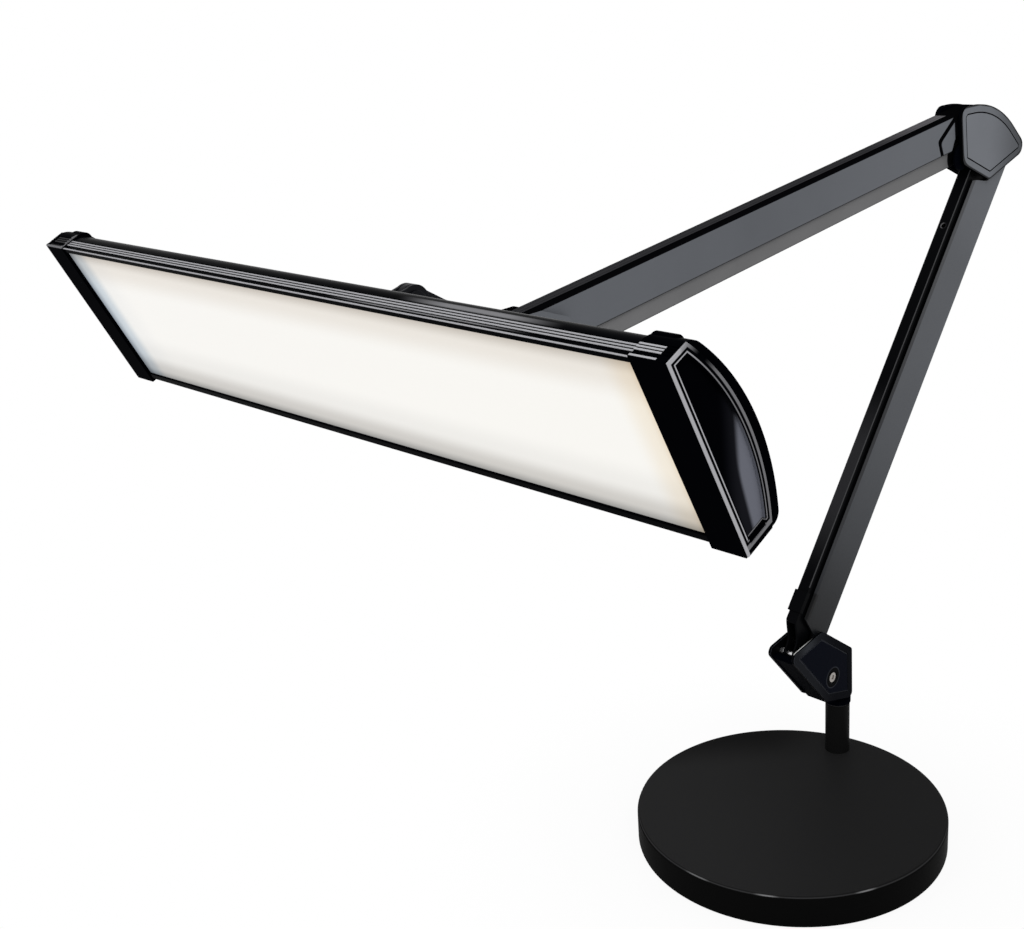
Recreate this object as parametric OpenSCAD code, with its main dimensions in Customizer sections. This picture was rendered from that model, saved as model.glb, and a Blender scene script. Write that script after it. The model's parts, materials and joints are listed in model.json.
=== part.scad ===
// Desk lamp: round weighted base, two balanced arms of nested channels, wide tilting light panel.
// Frame: millimetres, +Z up, +X from the post toward the panel, origin at the centre of the rest face.

/* [Base] */
// Diameter of the weighted base disc
base_d = 230; // [180:1:280]
// Height of the base disc with its foot pad
base_h = 27.5; // [18:0.5:40]
// Rounding of the upper rim of the base
base_round = 3; // [1:0.5:6]
// Thickness of the foot pad that shows below the disc
pad_h = 1.5; // [1:0.5:3]
// Margin of the foot pad inside the rim of the base
pad_margin = 8; // [5:0.5:15]
// Distance of the post axis in from the back of the base
post_inset = 23.5; // [20:0.5:60]
// Distance of the post to the side of the base centre
post_side = 21; // [-40:0.5:40]

/* [Post] */
// Outside diameter of the post tube
post_d = 19; // [16:0.5:26]
// Diameter of the swivel spigot that turns in the post
spigot_d = 12; // [8:0.5:13]
// Height of the post tube above the base top
post_rise = 42; // [30:1:90]
// Depth of the post tube in the base
post_seat = 11; // [8:0.5:15]

/* [Arms] */
// Distance between the end pivots of the lower arm
lower_len = 420; // [300:1:520]
// Distance between the end pivots of the upper arm
upper_len = 500; // [320:1:560]
// Backward lean of the lower arm from the vertical, at rest
lower_lean = 37; // [20:0.5:45]
// Downward slope of the upper arm from the horizontal, at rest
upper_slope = 7.2; // [-10:0.1:15]
// Width of the outer arm channels
outer_w = 15.2; // [14:0.2:18]
// Width of the inner arm channels
inner_w = 9.2; // [8:0.2:10]
// Depth of the lower outer channel from its web to its open edge
lower_outer_d = 36.1; // [32:0.1:38]
// Depth of the upper outer channel from its web to its open edge
upper_outer_d = 27; // [25:0.1:30]
// Reach of the outer channels behind their pivots
web_back = 9.8; // [8.5:0.1:10.5]
// Reach of the lower inner channel in front of its pivot
lower_inner_reach = 17.9; // [14:0.1:20]
// Reach of the upper inner channel below its pivot
upper_inner_reach = 11.2; // [9:0.1:14]
// Sheet thickness of the arm channels
arm_wall = 1.5; // [1.2:0.1:2]
// Distance between the two pivots of each end of an arm
pivot_gap = 18; // [17:0.5:22]
// Diameter of the pivot pins
pin_d = 5; // [4:0.5:6]

/* [Joint covers] */
// Width over the outer faces of the joint covers
cover_w = 23.6; // [22:0.2:27]
// Thickness of one joint cover
cover_t = 2.3; // [1.8:0.1:3]
// Width of the border outside the decorative groove
cover_border = 5.5; // [3:0.5:7]
// Width of the decorative groove
groove_w = 1; // [0.6:0.1:1.6]
// Depth of the decorative groove
groove_depth = 0.7; // [0.4:0.1:1]
// Diameter of the cover screw head
screw_d = 8; // [6:0.5:10]
// Bevel round the seat of the cover screw
seat_bevel = 1.1; // [0.5:0.1:1.5]

/* [Light head] */
// Length of the light head over its end caps
head_len = 501.5; // [380:0.5:620]
// Height of the light head face
head_h = 107.5; // [95:0.5:125]
// Depth of the light head at its thickest place
head_depth = 34.2; // [31:0.2:38]
// Radius of the shoulder between the top and the curved back
crown_r = 12.6; // [9:0.2:15]
// Depth of the ribbed flat on top of the head
top_flat = 9.4; // [9.4:0.1:11]
// Length of one end cap along the head
cap_len = 20; // [14:0.5:28]
// How far the end caps stand proud of the extrusion
cap_proud = 1.4; // [0.8:0.1:2]
// How far the end caps reach below the extrusion
cap_foot = 2.6; // [1.6:0.1:4]
// Wall thickness of the extrusion
shell_wall = 2; // [1.6:0.1:3]
// Thickness of the light diffuser
diffuser_t = 2; // [1.5:0.1:3]
// Downward tilt of the light head at rest
head_tilt = 26.4; // [10:0.1:40]
// Forward distance from the wrist pivot to the tilt axis
tilt_fwd = 63.2; // [58:0.2:70]
// Height of the tilt axis above the wrist pivot
tilt_up = 34; // [31:0.5:38]
// Distance from the tilt axis to the front of the head
head_fwd = 62.3; // [60:0.1:70]
// Height of the tilt axis below the middle of the head face
head_drop = 2.3; // [0:0.1:8]
// Diameter of the tilt barrel
barrel_d = 19.6; // [16:0.2:22]
// Width of the tilt barrel
barrel_w = 9; // [8:0.5:14]
// Width of the saddle on the back of the head
mount_w = 48; // [30:1:70]
// Diameter of the push switch
button_d = 12; // [9:0.5:15]
// Travel of the push switch
button_travel = 1.5; // [1:0.1:2]

/* [Fits] */
// Radial running clearance of the pivots
run_fit = 0.06; // [0.03:0.01:0.1]
// Side gap between parts that move past each other
side_gap = 0.6; // [0.4:0.05:0.8]

/* [Hidden] */
$fn = 96;
eps = 0.01;
arc_steps = 7;
// Post axis and main heights
post_x = post_inset - base_d / 2;
post_y = -post_side;
base_top = base_h;
pad_d = base_d - 2 * pad_margin;
post_top = base_top + post_rise;
washer_h = 1.5;
bolt_d = 8;
bolt_head_d = 14;
bolt_head_h = 4;
turret_z = post_top + washer_h;
flange_h = 4;
// Half widths across the arm plane
cover_in = cover_w / 2 - cover_t;
outer_hw = outer_w / 2;
inner_hw = inner_w / 2;
pad_in = outer_hw + side_gap;
pin_r = pin_d / 2;
pin_w = cover_w - 2 * cover_t + 2 * 1.4;
hole_r = pin_r + run_fit;
shoulder_r = pin_r + 0.9;
tongue_r = web_back;
tongue_front = 7;
inner_back = 4.5;
inner_end_r = 5.5;
seam_w = 4;
recess = 0.8;
// S-shaped ends of the channels: where each starts and ends, from the first pivot and from the last
low_ends = [7, 18, 24, 38];
low_link_ends = [6, 26, 2, 10];
up_ends = [24, 34, 26, 40];
up_link_ends = [4, 16, 6, 22];
// Joint across the side faces of the upper channel, as depth and distance from the pivot
seam_line = [[-9.8, 23.5], [-6, 29], [-2, 37.5], [2, 45], [4, 47.3], [6, 48.5], [8, 48.9], [10, 48.5]];
seam_end = 46.4;
// Length of the lug beside each end cap
lug_len = 11;
// Furthest backward lean of the lower arm
lean_max = 50;
through = 4 * cover_w;
// Pivots in the arm plane, measured from the post axis: x forward, z up
pivot_fwd = 41.4;
pivot_rise = 63.5;
piv_a = [pivot_fwd, turret_z + pivot_rise];
piv_b = piv_a + [pivot_gap, 0];
low_dir = [-sin(lower_lean), cos(lower_lean)];
piv_a2 = piv_a + lower_len * low_dir;
piv_b2 = piv_b + lower_len * low_dir;
piv_c = piv_a2 + [47.6, 34.6];
piv_d = piv_c + [0, -pivot_gap];
up_dir = [cos(upper_slope), -sin(upper_slope)];
piv_c2 = piv_c + upper_len * up_dir;
piv_d2 = piv_d + upper_len * up_dir;
swivel_x = 26;
core_top = 9.5;
stem_r = 5;
neck_top = 16.4;
plate_r = 9;
plate_h = 4;
ear_t = 2.2;
ear_gap = 0.3;
knuckle_w = barrel_w - 2 * (ear_t + ear_gap);
tilt_pin_r = 3;
tilt_axis = piv_c2 + [tilt_fwd, tilt_up];
// Centre of the head's front face from the tilt axis, turned by the tilt
head_c = tilt_axis + [head_fwd * cos(head_tilt) + head_drop * sin(head_tilt),
                      -head_fwd * sin(head_tilt) + head_drop * cos(head_tilt)];
up_turn = 90 + upper_slope;
// Outlines of the lower joint covers and of the bracket between them, from the post axis at the post top
turret_pts = [[36.5, 78.7], [-2, 50.2], [-2.9, 7.1], [31.3, 17], [77.6, 71.3]];
turret_rad = [7, 4, 4, 4, 5];
bracket_pts = [[36.5, 78.7], [-2, 50.2], [-2.9, 7.1], [26, 11.8], [77.6, 71.3]];
bracket_rad = [7, 4, 4, 4, 7];
turret_screw = [23.3, 34.7];
// Outline of the elbow covers, from the outer lower pivot
elbow_pts = [[72, 45.9], [18.9, 45.9], [-30.1, 2.9], [27.1, -14.2], [66.5, 3.3]];
elbow_rad = [9, 92, 7.5, 6, 6];
elbow_pad = [66, 8.5];
elbow_pad_r = 10;
// Outline of the wrist covers, from the outer upper pivot
wrist_pts = [[-22, 12.6], [-46, 3.8], [-46, -14], [-20, -29], [6, -30], [33, -20], [36, 0], [24, 12]];
wrist_rad = [6, 5, 8, 10, 10, 6, 5, 5];
// Head section heights, measured from the middle of the front face
head_top = head_h / 2 + 0.4;
head_bot = -head_h / 2 + 0.4;
shell_top = head_top - cap_proud;
shell_bot = head_bot + cap_foot;
shell_len = head_len - 2 * cap_len;
back_z = -8;
lip_top = 3;
lip_bot = 3.7;
heel_r = 6;
// The curved back meets the shoulder without a corner
crown = [-top_flat, head_top - crown_r];
back_rise = crown[1] - back_z;
back_r = ((head_depth - top_flat) * (head_depth - top_flat) + back_rise * back_rise
          - crown_r * crown_r) / (2 * (head_depth - top_flat - crown_r));
back_c = [back_r - head_depth, back_z];
heel_drop = back_z - head_bot - heel_r;
heel = [back_c[0] - sqrt((back_r - heel_r) * (back_r - heel_r) - heel_drop * heel_drop), head_bot + heel_r];
// Ribs on top of the head: the grooves between them, as start and width
rib_cuts = [[-4.3, 2.6], [-6.05, 0.8], [-7.75, 0.8], [-9.3, 0.65]];
rib_h = 0.6;
// Raised plate on the end of each cap
plate_t = 1.2;
plate_depth = 28.2;
plate_back_r = 122.7;
plate_z = -5;
plate_rim = 4;
lip_t = 1.5;
shell_front = -0.8;
seat_x = shell_front - lip_t;
button_y = head_len * 0.3;
board_x = 12;

// Corner rounding: tangent points and arc centres of a convex outline
function unit(v) = v / norm(v);
function before(p, i) = p[(i + len(p) - 1) % len(p)];
function after(p, i) = p[(i + 1) % len(p)];
function to_before(p, i) = unit(before(p, i) - p[i]);
function to_after(p, i) = unit(after(p, i) - p[i]);
function half_angle(p, i) = acos(to_before(p, i) * to_after(p, i)) / 2;
function bisector(p, i) = unit(to_before(p, i) + to_after(p, i));
function corner(p, i, r) = p[i] + bisector(p, i) * r / sin(half_angle(p, i));
function inset(p, d) = [for (i = [0 : len(p) - 1]) corner(p, i, d)];
function less(r, d) = [for (v = r) max(v - d, 0.6)];
function start_pt(p, i, r) = p[i] + to_before(p, i) * r / tan(half_angle(p, i));
function end_pt(p, i, r) = p[i] + to_after(p, i) * r / tan(half_angle(p, i));
function heading(v) = atan2(v[1], v[0]);
function short_turn(a) = a > 180 ? a - 360 : a < -180 ? a + 360 : a;
function corner_arc(p, i, r, n) =
    let (c = corner(p, i, r),
         a0 = heading(start_pt(p, i, r) - c),
         da = short_turn(heading(end_pt(p, i, r) - c) - a0))
    [for (k = [0 : n]) c + r * [cos(a0 + da * k / n), sin(a0 + da * k / n)]];

function steps(r) = r > 20 ? 3 * arc_steps : arc_steps;

// Convex outline with an arc on each corner
module round_poly(p, r) {
    polygon([for (i = [0 : len(p) - 1]) each corner_arc(p, i, r[i], steps(r[i]))]);
}

// Stands a drawing of the arm plane upright, extruded from y0 over t
module slab(y0, t) {
    translate([0, y0 + t, 0])
        rotate([90, 0, 0])
            linear_extrude(height = t)
                children();
}

// Round bar across the arm plane, centred on it
module cross_bar(p, r, w) {
    translate([p[0], 0, p[1]])
        rotate([90, 0, 0])
            cylinder(r = r, h = w, center = true);
}

// Moves a part from the post axis to its place on the base
module on_post() {
    translate([post_x, post_y, 0])
        children();
}

// Lays a part drawn along +Z from its pivot at the pivot point
module along(p, turn) {
    translate([p[0], 0, p[1]])
        rotate([0, turn, 0])
            children();
}

// Turns a part from the head's own axes to its place
module at_head() {
    on_post()
        translate([head_c[0], 0, head_c[1]])
            rotate([0, head_tilt, 0])
                children();
}

// Base disc: heavy disc with round rims, a pad recess and the post seat
module base_disc() {
    color([0.05, 0.05, 0.055])
        difference() {
            rotate_extrude() {
                translate([0, pad_h])
                    square([base_d / 2 - base_round, base_h - pad_h]);
                translate([0, pad_h + base_round])
                    square([base_d / 2, base_h - pad_h - 2 * base_round]);
                translate([base_d / 2 - base_round, base_h - base_round])
                    circle(r = base_round);
                translate([base_d / 2 - base_round, pad_h + base_round])
                    circle(r = base_round);
            }
            translate([0, 0, -eps])
                cylinder(d = pad_d, h = 2 * pad_h + eps);
            translate([post_x, post_y, base_top - post_seat])
                cylinder(d = post_d, h = post_seat + 1);
            translate([post_x, post_y, 0])
                cylinder(d = bolt_d, h = base_top);
            translate([post_x, post_y, 0])
                cylinder(d = bolt_head_d + 1, h = 2 * pad_h + bolt_head_h);
        }
}

// Foot pad: soft disc that carries the lamp
module base_pad() {
    color([0.09, 0.09, 0.09])
        cylinder(d = pad_d, h = 2 * pad_h);
}

// Post: tube with a closed foot, seated in the base
module post_tube() {
    color([0.06, 0.06, 0.065])
        on_post()
            difference() {
                translate([0, 0, base_top - post_seat])
                    cylinder(d = post_d, h = post_top - base_top + post_seat);
                translate([0, 0, base_top + 6])
                    cylinder(r = spigot_d / 2 + run_fit, h = post_rise);
                translate([0, 0, base_top - post_seat - 1])
                    cylinder(d = bolt_d, h = post_seat + 3);
            }
}

// Post bolt: draws the post into the base from below
module post_bolt() {
    color([0.45, 0.45, 0.46])
        on_post() {
            translate([0, 0, 2 * pad_h])
                cylinder(d = bolt_head_d, h = bolt_head_h);
            translate([0, 0, 2 * pad_h + bolt_head_h / 2])
                cylinder(d = bolt_d, h = base_top - 2 * pad_h - 1);
        }
}

// Washer: low friction ring under the turret flange
module swivel_washer() {
    color([0.3, 0.3, 0.31])
        on_post()
            translate([0, 0, post_top])
                difference() {
                    cylinder(d = post_d - 1, h = washer_h - run_fit);
                    translate([0, 0, -1])
                        cylinder(r = spigot_d / 2 + run_fit, h = washer_h + 2);
                }
}

// Space that the arm ends sweep through between the turret covers
module turret_sweep() {
    a = piv_a - [0, post_top];
    b = piv_b - [0, post_top];
    free = tongue_r + side_gap;
    back = a - (free + side_gap) * [cos(lean_max), sin(lean_max)];
    far = back + lower_len / 6 * [-sin(lean_max), cos(lean_max)];
    translate(a)
        circle(r = free);
    translate(b)
        circle(r = inner_end_r + side_gap);
    polygon([back, far, [2 * b[0], far[1]], [2 * b[0], b[1] + pin_r / 2], [b[0], b[1] + pin_r / 2],
             [b[0], b[1] - pin_r / 2], [a[0], a[1] - pin_r / 2]]);
}

// Turret: solid bracket between the covers with the spigot that turns in the post
module turret_body() {
    color([0.05, 0.05, 0.055])
        on_post()
            difference() {
                union() {
                    translate([0, 0, post_top])
                        slab(-cover_in, 2 * cover_in)
                            difference() {
                                round_poly(inset(bracket_pts, 0.4), less(bracket_rad, 0.4));
                                turret_sweep();
                            }
                    translate([0, 0, turret_z])
                        cylinder(d = post_d + 1.5, h = flange_h);
                    translate([0, 0, turret_z + flange_h - eps])
                        cylinder(d = 2 * cover_in, h = flange_h);
                    translate([0, 0, turret_z - post_rise + 8])
                        cylinder(d = spigot_d, h = post_rise);
                }
                translate([0, 0, post_top])
                    cross_bar(turret_screw, screw_d / 4, through);
            }
}

// One joint cover: rounded plate with a groove, blind pin holes and, where it has one, a screw seat
module cover(p, r, holes, screw, side) {
    groove_in = inset(p, cover_border);
    groove_out = inset(p, cover_border + groove_w);
    face = side > 0 ? cover_w / 2 : -cover_w / 2;
    difference() {
        slab(side > 0 ? cover_in : -cover_w / 2, cover_t)
            round_poly(p, r);
        slab(face - groove_depth, 2 * groove_depth)
            difference() {
                round_poly(groove_in, less(r, cover_border));
                round_poly(groove_out, less(r, cover_border + groove_w));
            }
        for (h = holes)
            cross_bar(h, pin_r, pin_w);
        if (len(screw) > 0) {
            cross_bar(screw, screw_d / 4, 2 * cover_w);
            translate([screw[0], side * cover_w / 2, screw[1]])
                rotate([90, 0, 0])
                    cylinder(d = screw_d, h = 2 * 1.3, center = true);
            translate([screw[0], side * (cover_w / 2 - seat_bevel), screw[1]])
                rotate([-side * 90, 0, 0])
                    cylinder(r1 = screw_d / 2, r2 = screw_d / 2 + seat_bevel + eps, h = seat_bevel + eps);
        }
    }
}

// Cap screw: head in the cover's seat, with a hexagon socket
module cap_screw(p, side) {
    translate([p[0], side * cover_w / 2, p[1]])
        rotate([side * 90, 0, 0])
            difference() {
                union() {
                    translate([0, 0, 0.3])
                        cylinder(d = screw_d - 0.2, h = 1);
                    translate([0, 0, 0.9])
                        cylinder(d = screw_d / 2 - 0.1, h = 7);
                }
                translate([0, 0, -eps])
                    cylinder(d = screw_d / 2, h = 1, $fn = 6);
            }
}

// Pivot pin with shoulders that keep the inner channel centred
module pivot_pin(p, half_gap) {
    cross_bar(p, pin_r, pin_w);
    for (s = [-1, 1])
        translate([p[0], s * (half_gap + cover_in) / 2, p[1]])
            rotate([90, 0, 0])
                cylinder(r = shoulder_r, h = cover_in - half_gap, center = true);
}

function turret_holes() = [piv_a - [0, post_top], piv_b - [0, post_top]];

// Turret cover on the near side
module turret_cover_near() {
    color([0.07, 0.07, 0.075])
        on_post()
            translate([0, 0, post_top])
                cover(turret_pts, turret_rad, turret_holes(), turret_screw, 1);
}

// Turret cover on the far side
module turret_cover_far() {
    color([0.07, 0.07, 0.075])
        on_post()
            translate([0, 0, post_top])
                cover(turret_pts, turret_rad, turret_holes(), turret_screw, -1);
}

// Turret screw on the near side
module turret_screw_near() {
    color([0.7, 0.7, 0.71])
        on_post()
            translate([0, 0, post_top])
                cap_screw(turret_screw, 1);
}

// Turret screw on the far side
module turret_screw_far() {
    color([0.7, 0.7, 0.71])
        on_post()
            translate([0, 0, post_top])
                cap_screw(turret_screw, -1);
}

// Pivot of the lower outer channel in the turret
module lower_pin_outer() {
    color([0.55, 0.55, 0.56])
        on_post()
            cross_bar(piv_a, pin_r, pin_w);
}

// Pivot of the lower inner channel in the turret
module lower_pin_inner() {
    color([0.55, 0.55, 0.56])
        on_post()
            pivot_pin(piv_b, inner_hw + side_gap);
}

// Section of an outer channel: web behind the pivot, open edges in front, edges bevelled
module outer_section(depth, bevel) {
    front = depth - tongue_r;
    hw = outer_hw;
    ci = hw - arm_wall;
    difference() {
        polygon([[-tongue_r, -hw + 1], [-tongue_r + 1, -hw],
                 [front - bevel[0], -hw], [front, -hw + bevel[1]],
                 [front, hw - bevel[1]], [front - bevel[0], hw],
                 [-tongue_r + 1, hw], [-tongue_r, hw - 1]]);
        translate([-tongue_r + arm_wall, -ci])
            square([depth, 2 * ci]);
        for (y = [-0.5, 0, 0.5])
            translate([-tongue_r - 0.5, y * hw - 0.3])
                square([0.9, 0.6]);
    }
}

// Section of an inner channel: web in front, open behind
module inner_section(reach) {
    hw = inner_hw;
    difference() {
        translate([-inner_back, -hw])
            square([inner_back + reach, 2 * hw]);
        translate([-inner_back - 1, -hw + arm_wall])
            square([inner_back + reach + 1 - arm_wall, 2 * (hw - arm_wall)]);
    }
}

// Smooth step between two values, used for the S-shaped ends
function s_step(a, b, t) = a + (b - a) * (3 * t * t - 2 * t * t * t);

// Side outline of an outer channel: round tongues at both pivots, full depth between
function outer_side(depth, len, e) = concat(
    [for (i = [0 : 12]) [-tongue_r * cos(i * 7.5), -tongue_r * sin(i * 7.5)]],
    [for (i = [0 : 12]) [tongue_front * sin(i * 7.5), -tongue_r * cos(i * 7.5)]],
    [for (i = [0 : 10])
        [s_step(tongue_front, depth - tongue_r + 1, i / 10), e[0] + (e[1] - e[0]) * i / 10]],
    [for (i = [0 : 10])
        [s_step(depth - tongue_r + 1, tongue_front, i / 10), len - e[3] + (e[3] - e[2]) * i / 10]],
    [for (i = [0 : 12]) [tongue_front * cos(i * 7.5), len + tongue_r * sin(i * 7.5)]],
    [for (i = [0 : 12]) [-tongue_r * sin(i * 7.5), len + tongue_r * cos(i * 7.5)]]);

// Side outline of an inner channel: rounded ends at both pivots, full reach between
function inner_side(reach, len, e) = concat(
    [for (i = [0 : 12]) [-inner_back * cos(i * 7.5), -inner_end_r * sin(i * 7.5)]],
    [for (i = [0 : 12]) [inner_end_r * sin(i * 7.5), -inner_end_r * cos(i * 7.5)]],
    [for (i = [0 : 10]) [s_step(inner_end_r, reach + 1, i / 10), e[0] + (e[1] - e[0]) * i / 10]],
    [for (i = [0 : 10]) [s_step(reach + 1, inner_end_r, i / 10), len - e[3] + (e[3] - e[2]) * i / 10]],
    [for (i = [0 : 12]) [inner_end_r * cos(i * 7.5), len + inner_end_r * sin(i * 7.5)]],
    [for (i = [0 : 12]) [-inner_back * sin(i * 7.5), len + inner_end_r * cos(i * 7.5)]]);

// Outer channel along +Z; seam is the line of a shallow joint across both side faces
module outer_channel(depth, len, side, bevel, seam) {
    back = [for (i = [len(seam) - 1 : -1 : 0]) seam[i] - [0, seam_w]];
    difference() {
        intersection() {
            translate([0, 0, -2 * tongue_r])
                linear_extrude(height = len + 4 * tongue_r)
                    outer_section(depth, bevel);
            slab(-outer_hw, 2 * outer_hw)
                polygon(side);
        }
        for (v = [0, len])
            cross_bar([0, v], hole_r, through);
        if (len(seam) > 0)
            for (s = [-1, 1])
                slab(s > 0 ? outer_hw - recess : -outer_hw - 1, recess + 1)
                    polygon(concat(seam, back));
    }
}

// Inner channel along +Z
module inner_channel(reach, len, side) {
    difference() {
        intersection() {
            translate([0, 0, -2 * tongue_r])
                linear_extrude(height = len + 4 * tongue_r)
                    inner_section(reach);
            slab(-inner_hw, 2 * inner_hw)
                polygon(side);
        }
        for (v = [0, len])
            cross_bar([0, v], hole_r, through);
    }
}

// Lower arm, outer channel: its web faces back
module lower_outer() {
    color([0.2, 0.21, 0.23])
        on_post()
            along(piv_a, -lower_lean)
                outer_channel(lower_outer_d, lower_len, outer_side(lower_outer_d, lower_len, low_ends),
                    [2.3, 1.2], []);
}

// Lower arm, inner channel: its web faces forward, with a sleeve near its foot and a hole near its top
module lower_inner() {
    sleeve_z = 29.5;
    sleeve_len = 16.5;
    sleeve_in = 15.4;
    sleeve_proud = 1.5;
    sleeve_w = inner_w + 2;
    color([0.1, 0.1, 0.11])
        on_post()
            along(piv_b, -lower_lean)
                difference() {
                    union() {
                        inner_channel(lower_inner_reach, lower_len,
                            inner_side(lower_inner_reach, lower_len, low_link_ends));
                        translate([sleeve_in, -sleeve_w / 2, sleeve_z])
                            cube([lower_inner_reach + sleeve_proud - sleeve_in, sleeve_w, sleeve_len]);
                    }
                    translate([lower_inner_reach - 2 * arm_wall, 0, lower_len - 4 * pivot_gap + 4])
                        rotate([0, 90, 0])
                            cylinder(r = pin_r - 0.5, h = 4 * arm_wall);
                }
}

// Elbow core: closes the top and back of the elbow between its covers
module elbow_core() {
    c = piv_c - piv_a2;
    color([0.05, 0.05, 0.055])
        on_post()
            translate([piv_a2[0], 0, piv_a2[1]])
                slab(-pad_in, 2 * pad_in)
                    difference() {
                        round_poly(inset(elbow_pts, 0.4), less(elbow_rad, 0.4));
                        translate(c)
                            circle(r = tongue_r + 2 * side_gap);
                        translate([-2 * c[0], -2 * c[1]])
                            square([4 * c[0], 2 * c[1] + tongue_r + 4 * side_gap]);
                        translate([c[0] - tongue_r - 2 * side_gap, -c[1]])
                            square([2 * c[0], 2 * c[1] + tongue_r - 2]);
                        translate([c[0] - tongue_r * 0.62, -c[1]])
                            square([2 * c[0], 4 * c[1]]);
                    }
}

function elbow_holes() = [[0, 0], piv_b2 - piv_a2, piv_c - piv_a2, piv_d - piv_a2];

// Elbow cover on the near side
module elbow_cover_near() {
    color([0.2, 0.21, 0.23])
        on_post()
            translate([piv_a2[0], 0, piv_a2[1]])
                cover(elbow_pts, elbow_rad, elbow_holes(), [], 1);
}

// Elbow cover on the far side
module elbow_cover_far() {
    color([0.2, 0.21, 0.23])
        on_post()
            translate([piv_a2[0], 0, piv_a2[1]])
                cover(elbow_pts, elbow_rad, elbow_holes(), [], -1);
}

// Elbow pivot of the lower outer channel
module elbow_pin_a() {
    color([0.55, 0.55, 0.56])
        on_post()
            cross_bar(piv_a2, pin_r, pin_w);
}

// Elbow pivot of the lower inner channel
module elbow_pin_b() {
    color([0.55, 0.55, 0.56])
        on_post()
            pivot_pin(piv_b2, inner_hw + side_gap);
}

// Elbow pivot of the upper outer channel
module elbow_pin_c() {
    color([0.55, 0.55, 0.56])
        on_post()
            cross_bar(piv_c, pin_r, pin_w);
}

// Elbow pivot of the upper inner channel
module elbow_pin_d() {
    color([0.55, 0.55, 0.56])
        on_post()
            pivot_pin(piv_d, inner_hw + side_gap);
}

// Pad between an elbow cover and the arms: liner of the cover with a round bumper at its front
module elbow_pad(side) {
    translate([piv_a2[0], 0, piv_a2[1]])
        difference() {
            slab(side > 0 ? pad_in : -cover_in, cover_in - pad_in)
                union() {
                    round_poly(inset(elbow_pts, 0.4), less(elbow_rad, 0.4));
                    translate(elbow_pad)
                        circle(r = elbow_pad_r);
                }
            for (h = [[0, 0], piv_c - piv_a2])
                cross_bar(h, pin_r, through);
            for (h = [piv_b2 - piv_a2, piv_d - piv_a2])
                cross_bar(h, shoulder_r, through);
        }
}

// Elbow pad on the near side
module elbow_pad_near() {
    color([0.05, 0.05, 0.055])
        on_post()
            elbow_pad(1);
}

// Elbow pad on the far side
module elbow_pad_far() {
    color([0.05, 0.05, 0.055])
        on_post()
            elbow_pad(-1);
}

// Upper arm, outer channel: its web is on top
module upper_outer() {
    front = upper_outer_d - tongue_r;
    color([0.22, 0.23, 0.25])
        on_post()
            along(piv_c, up_turn)
                outer_channel(upper_outer_d, upper_len, outer_side(upper_outer_d, upper_len, up_ends),
                    [0.6, 0.6],
                    concat([seam_line[0] - [tongue_r, 0]], seam_line,
                        [[front, seam_end], [2 * front, seam_end]]));
}

// Upper arm, inner channel: its web is below
module upper_inner() {
    color([0.2, 0.21, 0.23])
        on_post()
            along(piv_d, up_turn)
                inner_channel(upper_inner_reach, upper_len,
                    inner_side(upper_inner_reach, upper_len, up_link_ends));
}

// Wrist core: block between the wrist covers, bored for the head swivel
module wrist_core() {
    color([0.05, 0.05, 0.055])
        on_post()
            translate([piv_c2[0], 0, piv_c2[1]])
                difference() {
                    slab(-cover_in, 2 * cover_in)
                        polygon([[13, -16], [32, -16], [34.5, -2], [32.5, core_top], [13, core_top]]);
                    translate([swivel_x, 0, -through / 2])
                        cylinder(r = stem_r + run_fit, h = through);
                }
}

function wrist_holes() = [[0, 0], piv_d2 - piv_c2];

// Wrist cover on the near side
module wrist_cover_near() {
    color([0.07, 0.07, 0.075])
        on_post()
            translate([piv_c2[0], 0, piv_c2[1]])
                cover(wrist_pts, wrist_rad, wrist_holes(), [], 1);
}

// Wrist cover on the far side
module wrist_cover_far() {
    color([0.07, 0.07, 0.075])
        on_post()
            translate([piv_c2[0], 0, piv_c2[1]])
                cover(wrist_pts, wrist_rad, wrist_holes(), [], -1);
}

// Wrist pivot of the upper outer channel
module wrist_pin_outer() {
    color([0.55, 0.55, 0.56])
        on_post()
            cross_bar(piv_c2, pin_r, pin_w);
}

// Wrist pivot of the upper inner channel
module wrist_pin_inner() {
    color([0.55, 0.55, 0.56])
        on_post()
            pivot_pin(piv_d2, inner_hw + side_gap);
}

// Yoke: swivel stem, neck, plate and the tongue with the middle knuckle of the tilt barrel
module yoke() {
    reach = tilt_fwd - swivel_x;
    plate_top = neck_top + plate_h;
    color([0.06, 0.06, 0.065])
        on_post()
            translate([piv_c2[0] + swivel_x, 0, piv_c2[1]])
                difference() {
                    union() {
                        translate([0, 0, -14])
                            cylinder(r = stem_r, h = 14 + neck_top);
                        translate([0, 0, core_top + 0.15])
                            cylinder(r = stem_r + 2.4, h = neck_top - core_top);
                        translate([0, 0, neck_top])
                            cylinder(r = plate_r, h = plate_h);
                        slab(-knuckle_w / 2, knuckle_w)
                            union() {
                                translate([reach, tilt_up])
                                    circle(d = barrel_d);
                                polygon([[-6, neck_top + 1], [-6, plate_top], [reach - 23, tilt_up - 3.2],
                                         [reach - 3, tilt_up + barrel_d / 2 - 0.8],
                                         [reach + 3, tilt_up - barrel_d / 2 + 0.8], [8, neck_top + 1]]);
                            }
                    }
                    cross_bar([reach, tilt_up], tilt_pin_r, through);
                }
}

// Cap on the near end of the tilt pin
module yoke_cap_near() {
    color([0.12, 0.12, 0.125])
        on_post()
            translate([tilt_axis[0], barrel_w / 2 + ear_gap + ear_t / 2, tilt_axis[1]])
                rotate([90, 0, 0])
                    cylinder(r = barrel_d / 2 - 3, h = ear_t / 2);
}

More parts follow.
